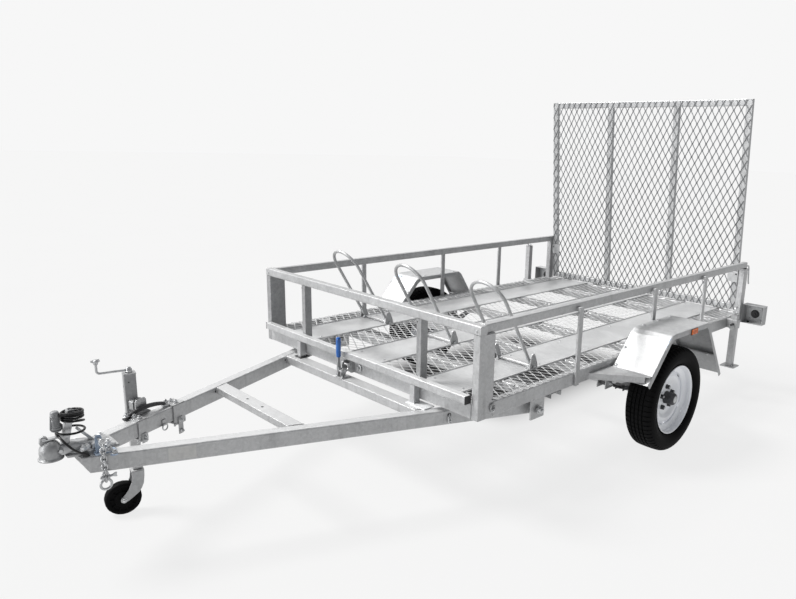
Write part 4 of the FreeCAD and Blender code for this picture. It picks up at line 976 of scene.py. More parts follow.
# ------------------------------------------------------------- running gear
def wheel(side, s):
    body = "wheel_" + side
    yc = s * 910.5
    half = [(53.5, 172), (53.5, 179), (57, 185), (62.5, 191), (68, 197.5), (72.5, 205), (75.6, 214), (77.0, 221), (77.5, 224), (77.1, 227), (76.9, 233),
            (77.2, 236), (76.3, 239), (75.0, 246), (72.4, 253), (69.2, 258.4), (65.0, 263.0), (60.0, 266.8), (54.0, 269.6), (49.0, 271.0),
            (35.0, 272.2), (34.4, 265.6), (28.2, 265.6), (27.6, 272.6), (14.6, 273.0), (14.0, 266.2), (7.8, 266.2), (7.2, 273.0)]
    inner = [(55.5, 205), (64.5, 224), (62, 244), (50, 258.5), (20, 260), (0, 260)]
    prof = [(r, t) for t, r in half] + [(r, -t) for t, r in half[::-1]]
    prof += [(172, -39.5), (184, -41), (205, -56.5), (224, -65), (244, -62), (258.5, -50), (260, 0), (258.5, 50), (244, 62), (224, 65), (205, 56.5), (184, 41), (172, 39.5)]
    ang, flag = [], []
    m = 64
    for q in range(m):
        for u, f in ((0.0, 0), (0.70, 0), (0.74, 1), (0.96, 1)):
            ang.append(2 * math.pi * (q + u) / m)
            flag.append(f)
    k = len(half)

    def shape(i, j, r, h):
        if not flag[j]:
            return r, h
        ii = i if i < k else 2 * k - 1 - i
        if 0 <= ii < k and i < 2 * k:
            t, rr = half[ii]
            if 256 < rr < 271.5 and t > 48:
                return r - 4.5, h
            if abs(t - 35.0) < 0.1 or abs(t - 27.6) < 0.1:
                return r - 3.2, h
            if abs(t - 14.6) < 0.1 or abs(t - 7.2) < 0.1:
                return r - 2.0, h
        return r, h
    pc = Piece()
    lathe(pc, prof, (-30, yc, 273), (0, s, 0), "rubber", closed=True, angles=ang, shape=shape)
    # valve
    rod(pc, (-30 + 152 * math.sin(1.2), s * (988 - 48), 273 + 152 * math.cos(1.2)), (-30 + 146 * math.sin(1.2), s * (988 - 16), 273 + 146 * math.cos(1.2)), 4.2, "rubber", 12, 1.0)
    pc.make("tyre_tread_" + side, body, ["tyre_" + side], "tyre", angle=38)
    # rim barrel, then the disc with its slots
    yo = 988 - 910.5
    pc = Piece()
    sec = [(178.0, yo - 14.2), (179.2, yo - 15.6), (178.6, yo - 18.5), (175, yo - 21.5), (171.6, yo - 24), (171.4, yo - 44), (168, yo - 48), (147, yo - 57), (144, yo - 62),
           (144, yo - 104), (146, yo - 108), (168, yo - 116), (171.4, yo - 120), (171.6, yo - 131), (175, yo - 133.5), (178.6, yo - 136.5), (179.2, yo - 139.4), (178, yo - 140.8),
           (175.4, yo - 140.6), (168.4, yo - 131), (168, yo - 121), (143, yo - 110), (140.5, yo - 104), (140.5, yo - 60), (143, yo - 54), (165, yo - 45), (168.2, yo - 42), (168.4, yo - 24.5), (175.2, yo - 14.6)]
    lathe(pc, sec, (-30, yc, 273), (0, s, 0), "rimpaint", 96, closed=True)
    rows = [(141.5, yo - 63.5), (138.5, yo - 60.5), (134.0, yo - 58.2), (129.0, yo - 55.8), (122.0, yo - 52.6), (116.5, yo - 50.6), (110.0, yo - 51.2), (103.0, yo - 55.0),
            (96.5, yo - 60.4), (90.5, yo - 65.2), (84.0, yo - 67.6), (76.0, yo - 68.4), (66.0, yo - 69.0), (56.0, yo - 69.0), (46.0, yo - 68.6), (36.0, yo - 68.0), (32.5, yo - 68.2)]
    N = 160
    th = 3.6
    o, d = Vector((-30, yc, 273)), Vector((0, s, 0))
    a, b = Vector((1, 0, 0)), Vector((0, 0, 1))

    def pt(i, j, back):
        r, h = rows[i]
        g = 2 * math.pi * j / N
        return o + d * (h - (th if back else 0)) + a * (r * math.cos(g)) + b * (r * math.sin(g))
    R = len(rows)
    V = [pt(i, j, False) for j in range(N) for i in range(R)] + [pt(i, j, True) for j in range(N) for i in range(R)]
    fi = lambda i, j: (j % N) * R + i
    bi = lambda i, j: N * R + (j % N) * R + i
    slots = 5
    turn = SLOT_TURN

    def solid(i, j):
        if i < 0 or i >= R - 1:
            return False
        g = ((j + 0.5) / N * 360.0 - turn) % (360.0 / slots)
        g = min(g, 360.0 / slots - g)
        return not (1 <= i < 3 and g < 6.5)
    F = []
    for j in range(N):
        for i in range(R - 1):
            if not solid(i, j):
                continue
            F.append((fi(i, j), fi(i + 1, j), fi(i + 1, j + 1), fi(i, j + 1)))
            F.append((bi(i, j), bi(i, j + 1), bi(i + 1, j + 1), bi(i + 1, j)))
            if not solid(i - 1, j):
                F.append((fi(i, j), fi(i, j + 1), bi(i, j + 1), bi(i, j)))
            if not solid(i + 1, j):
                F.append((fi(i + 1, j), bi(i + 1, j), bi(i + 1, j + 1), fi(i + 1, j + 1)))
            if not solid(i, j - 1):
                F.append((fi(i, j), bi(i, j), bi(i + 1, j), fi(i + 1, j)))
            if not solid(i, j + 1):
                F.append((fi(i, j + 1), fi(i + 1, j + 1), bi(i + 1, j + 1), bi(i, j + 1)))
    pc.add(V, F, "rimpaint")
    # shadowed opening behind the slot that faces up and back
    V2 = []
    for h in (yo - 60.6, yo - 66.0):
        for r, g0 in ((137.5, -1), (130.0, -1), (130.0, 1), (137.5, 1)):
            g = math.radians(SLOT_TURN) + g0 * math.radians(6.0)
            V2.append(o + d * (h + (1.4 if r < 132 else 0)) + a * (r * math.cos(g)) + b * (r * math.sin(g)))
    pc.add(V2, [(0, 1, 2, 3), (7, 6, 5, 4), (0, 4, 5, 1), (1, 5, 6, 2), (2, 6, 7, 3), (3, 7, 4, 0)], "holes")
    pc.make("rim_disc_" + side, body, ["rim_" + side], "wheel_paint", angle=40)
    # hub, dust cap, studs and nuts
    pc = Piece()
    hub = [(0, yo - 15), (20, yo - 15), (25.0, yo - 17), (28.6, yo - 19.5), (30.6, yo - 23), (31.6, yo - 29), (31.8, yo - 38), (30.6, yo - 39.2), (30.6, yo - 44), (31.8, yo - 45.2), (31.8, yo - 72),
           (38, yo - 73.0), (61, yo - 74.2), (62, yo - 75.6), (62, yo - 84), (50, yo - 87), (40, yo - 90), (34, yo - 96), (34, yo - 110), (16.4, yo - 110), (16.4, yo - 44), (0, yo - 44)]
    lathe(pc, hub, (-30, yc, 273), (0, s, 0), "darksteel", 48)
    lathe(pc, [(0, yo - 12.2), (9, yo - 12.6), (16.0, yo - 13.8), (20.0, yo - 16.2), (20.6, yo - 18.5), (0, yo - 18.5)], (-30, yc, 273), (0, s, 0), "zinc", 40)
    for q in range(5):
        g = 2 * math.pi * q / 5 + 0.32
        c = Vector((-30 + 57 * math.cos(g), yc + s * (yo - 68.8), 273 + 57 * math.sin(g)))
        lathe(pc, [(0, 0), (12.5, 0), (10.6, 3.2), (0, 3.2)], c, (0, s, 0), "darksteel", 24)
        hexa(pc, c + Vector((0, s * 3.0, 0)), (0, s, 0), 20, 13, "darksteel", g)
        lathe(pc, [(0, 0), (6, 0), (6, 4), (5, 5), (0, 5)], c + Vector((0, s * 15.5, 0)), (0, s, 0), "zinc", 14)
    pc.make("hub_assembly_" + side, body, ["hub_" + side], "dark_steel", angle=36)


SLOT_TURN = 134.0
for side, s in (("left", 1), ("right", -1)):
    wheel(side, s)


# ------------------------------------------------------------------ drawbar
def rail_y(x):
    return 571.0 - 0.41827 * (x - 1250.0)


def drawbar():
    c = 50.0 * 1.0839 / 2
    for side, s in (("left", 1), ("right", -1)):
        pc = Piece()
        x0, x1 = 815.0, 2462.0
        rhs(pc, (x0, s * (rail_y(x0) - c), 396), (x1, s * (rail_y(x1) - c), 396), (0, 0, 1), 50, 64, r=6, t=4, n=4, n0=(1, 0, 0), n1=(1, 0, 0))
        # the nose end is cut back below
        bm = bmesh.new()
        vs = [bm.verts.new(v) for v in pc.V]
        for f in pc.F:
            bm.faces.new([vs[i] for i in f])
        got = bmesh.ops.bisect_plane(bm, geom=bm.verts[:] + bm.edges[:] + bm.faces[:], plane_co=Vector((x1 - 24, 0, 363)), plane_no=Vector((47, 0, -25)).normalized(), clear_outer=True)
        edges = [e for e in got["geom_cut"] if isinstance(e, bmesh.types.BMEdge)]
        try:
            bmesh.ops.bridge_loops(bm, edges=edges)
        except Exception as err:
            print("bridge", err)
        bm.verts.index_update()
        V = [v.co.copy() for v in bm.verts]
        F = [[v.index for v in f.verts] for f in bm.faces]
        bm.free()
        pc = Piece()
        # painted light: the rail's upward faces are painted paler
        pc.add(V, F, "galv_top")
        # seam where the rail passes the bed's front foot, with its fixings
        if s > 0:
            weld(pc, (1237, rail_y(1237) + 0.5, 366), (1237, rail_y(1237) + 0.5, 427), 2.0)
            # dark hole near the rail's end with a small shackle through it
            nrm = Vector((0.3859, 0.9226, 0))
            h0 = Vector((1213, rail_y(1213), 408))
            hole(pc, h0 + nrm * 0.2, nrm, 8.5)
            shk = [h0 + Vector((0, 0, -2)) - nrm * 2, h0 + Vector((0, 0, 5)) + nrm * 6]
            shk += [h0 + nrm * 9 + Vector((9 * math.sin(g), 0, -16 - 11 * math.cos(g))) for g in [math.pi * (0.75 - 0.25 * i) for i in range(5)]]
            sweep(pc, shk, 2.6, "zinc", 10)
            sweep(pc, [h0 + nrm * 9 + Vector((8 * math.cos(g), 0, -22 + 12 * math.sin(g))) for g in [2 * math.pi * i / 24 for i in range(24)]], 2.6, "zinc", 10, closed=True)
            # blank label
            xa, xb, n = 2124.0, 2210.0, Vector((0.41827, 1, 0)).normalized() * 0.35
            q = [(x, rail_y(x), z) for x, z in ((xa, 373), (xb, 373), (xb, 421), (xa, 421))]
            pc.add([Vector(v) + n for v in q] + [Vector(v) - n for v in q], [(0, 1, 2, 3), (7, 6, 5, 4), (0, 4, 5, 1), (1, 5, 6, 2), (2, 6, 7, 3), (3, 7, 4, 0)], "label")
        # drain holes beside the cross members
        for x, z in ((1804, 410), (1722, 410), (1332, 410)):
            yy = s * (rail_y(x) - 2 * c)
            hole(pc, (x, yy, z), (-0.3859 * 1.0, -s * 0.9226, 0), 5.0)
        pc.make("drawbar_tube_" + side, "drawbar", ["drawbar_rail_" + side], "galvanised")
    # cross members: shallow channels between the rails, two bolt holes in the front one
    pc = Piece()
    for xm, wd, ht in ((1768.0, 60.0, 30.0), (1288.0, 64.0, 40.0)):
        a = rail_y(xm) - 2 * c
        # painted light: the cross members' upward faces are painted paler
        rhs(pc, (xm, -a, 428 - ht / 2), (xm, a, 428 - ht / 2), (0, 0, 1), wd, ht, "galv_top", r=3.5, t=4, n=4, n0=(0.3859, -0.9226, 0), n1=(0.3859, 0.9226, 0))
        for s in (1, -1):
            for dx in (-1, 1):
                x = xm + dx * (wd / 2 + 0.2)
                y = s * (rail_y(x) - 2 * c - 1)
                weld(pc, (x, y, 428 - ht + 3), (x, y, 426), 2.6)
            weld(pc, (xm - wd / 2 + 2, s * (rail_y(xm - wd / 2 + 2) - 2 * c), 428.3), (xm + wd / 2 - 2, s * (rail_y(xm + wd / 2 - 2) - 2 * c), 428.3), 2.0)
    for y in (50, -70):
        hole(pc, (1768, y, 428.1), (0, 0, 1), 5.4)
    pc.make("drawbar_cross_tubes", "drawbar", ["drawbar_crossmembers"], "galvanised")


drawbar()


# --------------------------------------------------------------- mudguards
GUARD = [(-467, 330), (-263, 632), (-237, 652), (107, 652), (137, 648), (163, 630), (336, 440)]


def filleted(pts, r, n=4):
    """A plane outline with its folds rounded."""
    out = [pts[0]]
    for i in range(1, len(pts) - 1):
        p = Vector(pts[i])
        a, b = Vector(pts[i - 1]) - p, Vector(pts[i + 1]) - p
        back = min(r * math.tan((math.pi - a.angle(b)) / 2), 0.45 * min(a.length, b.length))
        s, e = p + a.normalized() * back, p + b.normalized() * back
        for k in range(n + 1):
            u = k / n
            q = s * (1 - u) ** 2 + p * 2 * u * (1 - u) + e * u ** 2
            out.append((q.x, q.y))
    out.append(pts[-1])
    return out


def guard(side, s):
    line = filleted(GUARD, 13.0)
    # across the guard: distance from the wheel side to the outside, and depth below the outline
    t, lip, r = 3.0, 25.0, 7.0
    y0, y1 = 792.0, 1010.0
    sec = [(y1, lip)]
    for k in range(5):
        g = math.pi / 2 * k / 4
        sec.append((y1 - r + r * math.cos(g), r - r * math.sin(g)))
    sec += [(y1 - 60, 0.0), (901, -0.3), (y0 + 60, 0.0)]
    for k in range(5):
        g = math.pi / 2 * k / 4
        sec.append((y0 + r - r * math.sin(g), r - r * math.cos(g)))
    sec.append((y0, lip))
    inner = [(y0 + t, lip)]
    for k in range(5):
        g = math.pi / 2 * (4 - k) / 4
        inner.append((y0 + r - (r - t) * math.sin(g), r - (r - t) * math.cos(g)))
    inner += [(y0 + 60, t), (901, t - 0.3), (y1 - 60, t)]
    for k in range(5):
        g = math.pi / 2 * (4 - k) / 4
        inner.append((y1 - r + (r - t) * math.cos(g), r - (r - t) * math.sin(g)))
    inner.append((y1 - t, lip))
    sec = sec + inner
    V = []
    for i, p in enumerate(line):
        p = Vector(p)
        ns = []
        for a, b in ((i - 1, i), (i, i + 1)):
            if a >= 0 and b < len(line):
                d = (Vector(line[b]) - Vector(line[a])).normalized()
                ns.append(Vector((d.y, -d.x)))
        nn = (ns[0] + ns[-1]) / 2
        nn = nn / nn.length_squared
        for y, d in sec:
            V.append((p.x + nn.x * d, s * y, p.y + nn.y * d))
    k, m = len(sec), len(line)
    F = []
    for i in range(m - 1):
        for j in range(k):
            j2 = (j + 1) % k
            F.append((i * k + j, i * k + j2, i * k + k + j2, i * k + k + j))
    half = k // 2
    for e in (0, (m - 1) * k):
        for j in range(half - 1):
            F.append((e + j, e + j + 1, e + k - 2 - j, e + k - 1 - j))
    pc = Piece()
    pc.add(V, F, "galv_sheet")
    # side marker lamp on the lip with its base
    def put(x0, x1, ya, yb, z0, z1, key):
        V = []
        for y, g in ((ya, 0.0), (yb - 1.5 * (1 if yb > ya else -1), 0.0), (yb, 2.0)):
            for x, z in ((x0 + g, z0 + g), (x1 - g, z0 + g), (x1 - g, z1 - g), (x0 + g, z1 - g)):
                V.append((x, s * y, z))
        F = [(0, 3, 2, 1), (8, 9, 10, 11)]
        for q in (0, 4):
            F += [(q + i, q + (i + 1) % 4, q + 4 + (i + 1) % 4, q + 4 + i) for i in range(4)]
        pc.add(V, F, key)
    put(-112, -44, 1010.2, 1012.4, 618, 650, "blackplastic")
    put(-108, -48, 1012.4, 1017.4, 621, 647, "amber")
    for i in range(9):
        x = -104 + 6.5 * i
        put(x, x + 3.0, 1017.0, 1018.4, 623, 645, "amber")
    # painted reflection: a thin bluish triangle laid on the front fold by the lip stands for sky reflected in the sheet
    c0, c1 = Vector((152, 640.0)), Vector((190, 598.5))
    n = Vector((0.739, 0.674)) * 1.1
    tri = [(c0.x + n.x * 0.6, 944, c0.y + n.y + 0.9), (c0.x + n.x * 0.6, 1006, c0.y + n.y + 0.9), (c1.x + n.x, 1006, c1.y + n.y)]
    V = [(x, s * y, z) for x, y, z in tri] + [(x - 1.2, s * y, z - 1.2) for x, y, z in tri]
    pc.add(V, [(0, 1, 2), (5, 4, 3), (0, 3, 4, 1), (1, 4, 5, 2), (2, 5, 3, 0)], "bluezinc")
    weld(pc, (140, s * 1009.5, 646.0), (204, s * 1009.5, 583.5), 1.7)
    # bolts that hold the guard to its stays
    for x in (-200, -70, 70):
        lathe(pc, [(0, 0), (9, 0), (8.4, 2.4), (5, 4.6), (0, 5.2)], (x, s * 812, 652.2), (0, 0, 1), "zinc", 20)
    for u in (0.35, 0.75):
        x, z = 163 + 173 * u, 630 - 190 * u
        lathe(pc, [(0, 0), (9, 0), (8.4, 2.4), (5, 4.6), (0, 5.2)], (x, s * 806, z), (190, 0, 173), "zinc", 20)
    for y in (820, 960):
        bolt(pc, (-372, s * y, 449), (0, 0, -1), 13, stub=5)
    pc.make("mudguard_sheet_" + side, "bed", ["mudguard_" + side], "galvanised", angle=40)


for side, s in (("left", 1), ("right", -1)):
    guard(side, s)


# ------------------------------------------------------------- tail lamps
def lamps():
    for side, s in (("left", 1), ("right", -1)):
        pc = Piece()
        # lens of two colours in a black body
        for ya, yb, key in ((796.5, 830, "amber"), (831, 896 - 0.5, "redlens")):
            V, F = [], []
            rows = [(-1313.6, 0.0), (-1315.6, 0.0), (-1317.4, 2.4)]
            for x, g in rows:
                for y, z in ((ya + g, 459 + g), (yb - g, 459 + g), (yb - g, 553 - g), (ya + g, 553 - g)):
                    V.append((x, s * y, z))
            F = [(0, 1, 2, 3), (11, 10, 9, 8)]
            for q in (0, 4):
                F += [(q + i, q + (i + 1) % 4, q + 4 + (i + 1) % 4, q + 4 + i) for i in range(4)]
            pc.add(V, F, key)
            n = int((yb - ya) / 6)
            for i in range(n):
                y = ya + 4 + (yb - ya - 8) * i / max(1, n - 1)
                slab(pc, -1318.3, -1316.8, s * y - 0.8, s * y + 0.8, 463, 549, key)
        slab(pc, -1313.8, -1300.4, s * 796, s * 896, 458, 554, "blackplastic")
        # back of the lamp inside its box: moulded ring, boss, two studs with nuts and a grommet
        c = (-1296.6, s * 842, 503)
        lathe(pc, [(0, 0), (27, 0), (27, 3), (25.4, 4.5), (21, 4.8), (20, 10), (18.6, 11.6), (12, 12), (10.5, 19), (8.4, 20.5), (0, 20.5)], c, (1, 0, 0), "blackplastic", 40)
        for dy, dz in ((-26, -24), (26, -24), (-26, 24), (26, 24)):
            q = (-1296.8, s * (842 + dy * 1.35), 503 + dz * 1.35)
            bolt(pc, q, (1, 0, 0), 9, "zinc", stub=5)
        lathe(pc, [(0, 0), (8, 0), (8, 2), (6, 4), (6, 7), (0, 7)], (-1270, s * 812, 449.4), (0, 0, 1), "rubber", 20)
        for i in range(8):
            g = 2 * math.pi * i / 8
            q = Vector(c) + Vector((4.4, 23.2 * math.cos(g), 23.2 * math.sin(g)))
            lathe(pc, [(0, 0), (3, 0), (2.6, 2), (0, 2.2)], q, (1, 0, 0), "blackplastic", 10)
        pc.make("tail_lamp_unit_" + side, "bed", ["tail_lamps"], "black_plastic", bevel=0.5)


lamps()


# -------------------------------------------------- springs and axle fittings
def springs():
    for side, s in (("left", 1), ("right", -1)):
        pc = Piece()
        ax, h = -30.0, 330.0
        yc = s * 761.0

        def top(u):
            return 323.0 + 73.0 * (abs(u) / h) ** 2.5
        halfs = [330.0, 285.0, 228.0, 168.0, 108.0]
        for k, hl in enumerate(halfs):
            n = 18
            up, dn = [], []
            for i in range(n + 1):
                u = -hl + 2 * hl * i / n
                z = top(u) - 6.0 * k
                up.append((ax + u, z - 0.15))
                dn.append((ax + u, z - 5.85))
            wd = 20.0 if k < 4 else 20.0
            prism(pc, up + dn[::-1], "y", yc - wd, yc + wd, "darksteel")
        for sg in (1, -1):
            ex = ax + sg * (h + 10)
            lathe(pc, [(8, 0), (16, 0), (16, 40), (8, 40)], (ex, yc - 20, 392), (0, 1, 0), "darksteel", 28, closed=True)
            lathe(pc, [(0, -3), (7.6, -3), (7.6, 43), (0, 43)], (ex, yc - 20, 392), (0, 1, 0), "rubber", 20)
            # clip round the leaves
            z = top(190 * sg)
            slab(pc, ax + sg * 190 - 9, ax + sg * 190 + 9, yc - 23, yc - 20.2, z - 27, z + 3, "darksteel")
            slab(pc, ax + sg * 190 - 9, ax + sg * 190 + 9, yc + 20.2, yc + 23, z - 27, z + 3, "darksteel")
            slab(pc, ax + sg * 190 - 9, ax + sg * 190 + 9, yc - 23, yc + 23, z + 3, z + 5, "darksteel")
        # axle plate, U-bolts and their nuts
        slab(pc, ax - 50, ax + 50, yc - 26, yc + 26, 323, 331, "galv")
        for x in (-34, 34):
            for dy in (-1, 1):
                y = yc + dy * 25.5
                bolt(pc, (ax + x, y, 331), (0, 0, 1), 16, "zinc", stub=8)
                rod(pc, (ax + x, y, 331), (ax + x, y, 248), 5.0, "zinc", 12)
            n = 14
            arc = [(ax + x, yc + 25.5 * math.cos(math.pi * i / n), 250 - 9.0 * math.sin(math.pi * i / n)) for i in range(n + 1)]
            sweep(pc, arc, 5.0, "zinc", 12)
        hexa(pc, (ax, yc, 331), (0, 0, 1), 13, 8, "zinc")
        pc.make("spring_pack_" + side, "bed", ["leaf_springs"], "dark_steel", bevel=0.6)
    pc = Piece()
    for s in (1, -1):
        for sg in (1, -1):
            xc = -30 + sg * 340.0
            for dy in (-1, 1):
                bolt(pc, (xc, s * 761 + dy * 26, 392), (0, dy, 0), 19, "zinc", stub=6 if dy > 0 else 0)
            for dy in (-27, 27):
                weld(pc, (xc - 28, s * 761 + dy, 440.5), (xc + 28, s * 761 + dy, 440.5), 2.8)
        # weld where the stub meets the beam
        weld(pc, (-30 - 18, s * 826, 294), (-30 + 18, s * 826, 294), 2.6)
    pc.make("hanger_bolts_and_welds", "bed", slot="galvanised")
    pc = Piece()
    for s in (1, -1):
        ycen = 571.0 - 0.41827 * (852.0 - 1250.0) - 27.1
        for d in (-1, 1):
            bolt(pc, (852, s * ycen + d * 70, 394), (0, d, 0), 27, "zinc", stub=5 if d * s > 0 else 0)
        for y in (ycen - 57, ycen + 57):
            weld(pc, (815, s * y, 441), (889, s * y, 441), 3.0)
    # the under cross member's welds
    for s in (1, -1):
        for x in (696, 772):
            weld(pc, (x, s * 744, 444.5), (x, s * 778, 444.5), 2.6)
    pc.make("pivot_nuts_and_welds", "bed", slot="zinc_plate")


springs()


# ------------------------------------------------------------- drop legs
def legs():
    for side, s, z0 in (("left", 1, 205.0), ("right", -1, 430.0)):
        pc = Piece()
        x, y = -1035.0, s * 823.0
        rhs(pc, (x, y, z0 + 4), (x, y, z0 + 330), (0, 1, 0), 38, 38, r=4)
        V = []
        pts = rrect(90, 90, 9, 4)
        prism(pc, [(x + a, y + b) for a, b in pts], "z", z0, z0 + 5)
        prism(pc, [(x + a, y + b) for a, b in rrect(38, 38, 4, 3)], "z", z0 + 328, z0 + 334)
        ringp = [(x + 22 * math.cos(g), y, z0 + 356 + 22 * math.sin(g)) for g in [2 * math.pi * i / 36 for i in range(36)]]
        sweep(pc, ringp, 4.0, "zinc", 10, closed=True)
        for d in (-1, 1):
            weld(pc, (x - 18, y + d * 19.5, z0 + 5.5), (x + 18, y + d * 19.5, z0 + 5.5), 2.6)
            weld(pc, (x + d * 19.5, y - 18, z0 + 5.5), (x + d * 19.5, y + 18, z0 + 5.5), 2.6)
        pc.make("drop_leg_tube_" + side, "leg_" + side, ["drop_leg_" + side], "galvanised", angle=36)
    pc = Piece()
    for s in (1, -1):
        # pinch pin in front of each sleeve with its ring
        x, y = -1035 + 26, s * 823.0
        lathe(pc, [(0, -2), (9, -2), (9, 6), (6, 7), (6, 14), (8.5, 15), (8.5, 24), (6.5, 26), (0, 26)], (x, y, 478), (1, 0, 0), "darksteel", 24)
        ringp = [(x + 18, y + 14 * math.cos(g), 463 + 14 * math.sin(g)) for g in [2 * math.pi * i / 28 for i in range(28)]]
        sweep(pc, ringp, 2.2, "zinc", 8, closed=True)
        for dz in (450.6, 504.4):
            weld(pc, (x - 46, s * 800.5, dz), (x - 6, s * 800.5, dz), 2.4)
    pc.make("drop_leg_pins", "bed", slot="zinc_plate")


legs()


# ------------------------------------------------- ramp hinges and lock pins
def ramp_fittings():
    pc = Piece()
    for s in (1, -1):
        for yy in (640, 250):
            y0, y1 = min(s * yy, s * (yy + 60)), max(s * yy, s * (yy + 60))
            lathe(pc, [(5.2, 0), (9, 0), (9, 60), (5.2, 60)], (-1271, y0, 496), (0, 1, 0), "galv", 24, closed=True)
            prism(pc, [(-1271, 487.6), (-1250.4, 487.6), (-1250.4, 498), (-1266, 498), (-1269, 496)], "y", y0, y1)
            weld(pc, (-1252, y0, 499), (-1252, y1, 499), 2.4)
    for s in (1, -1):
        a, b = (s * 576, s * 702), (s * 248, s * 374)
        for q0, q1 in (a, b):
            rod(pc, (-1271, min(q0, q1), 496), (-1271, max(q0, q1), 496), 4.9, "zinc", 16, 0.8)
    pc.make("ramp_hinge_tubes", "bed", ["ramp_hinge_knuckles"], "galvanised", angle=40)
    pc = Piece()
    for s in (1, -1):
        y = s * 761.0
        path = bent([(-1236, y, 806), (-1300, y, 806), (-1322, y, 700)], 20.0, 8)
        path = [(-1236, y, 806)] + [tuple(p) for p in path[1:]] + [(-1330, y, 684)]
        sweep(pc, path, 5.0, "zinc", 12)
        lathe(pc, [(0, 0), (8, 0), (8, 3), (6, 4), (0, 4)], (-1252, y, 806), (-1, 0, 0), "zinc", 20)
    pc.make("ramp_lock_hooks", "bed", ["ramp_lock_pins"], "zinc_plate", angle=40)
    # catch plates on the ramp's own frame, behind the posts
    pc = Piece(RAMP_T)
    for s in (1, -1):
        y0, y1 = min(s * 668, s * 734), max(s * 668, s * 734)
        prism(pc, [(y0, 212), (y1, 212), (y1, 276), ((y0 + y1) / 2 + 12, 284), ((y0 + y1) / 2 - 12, 284), (y0, 276)], "x", 33.4, 37.4)
        hole(pc, (37.5, s * 722, 262), (1, 0, 0), 5.5)
        for z in (214, 274):
            weld(pc, (37, s * 694, z), (37, s * 728, z), 2.2)
    pc.make("ramp_catch_plates", "ramp", slot="galvanised", bevel=0.6)


ramp_fittings()


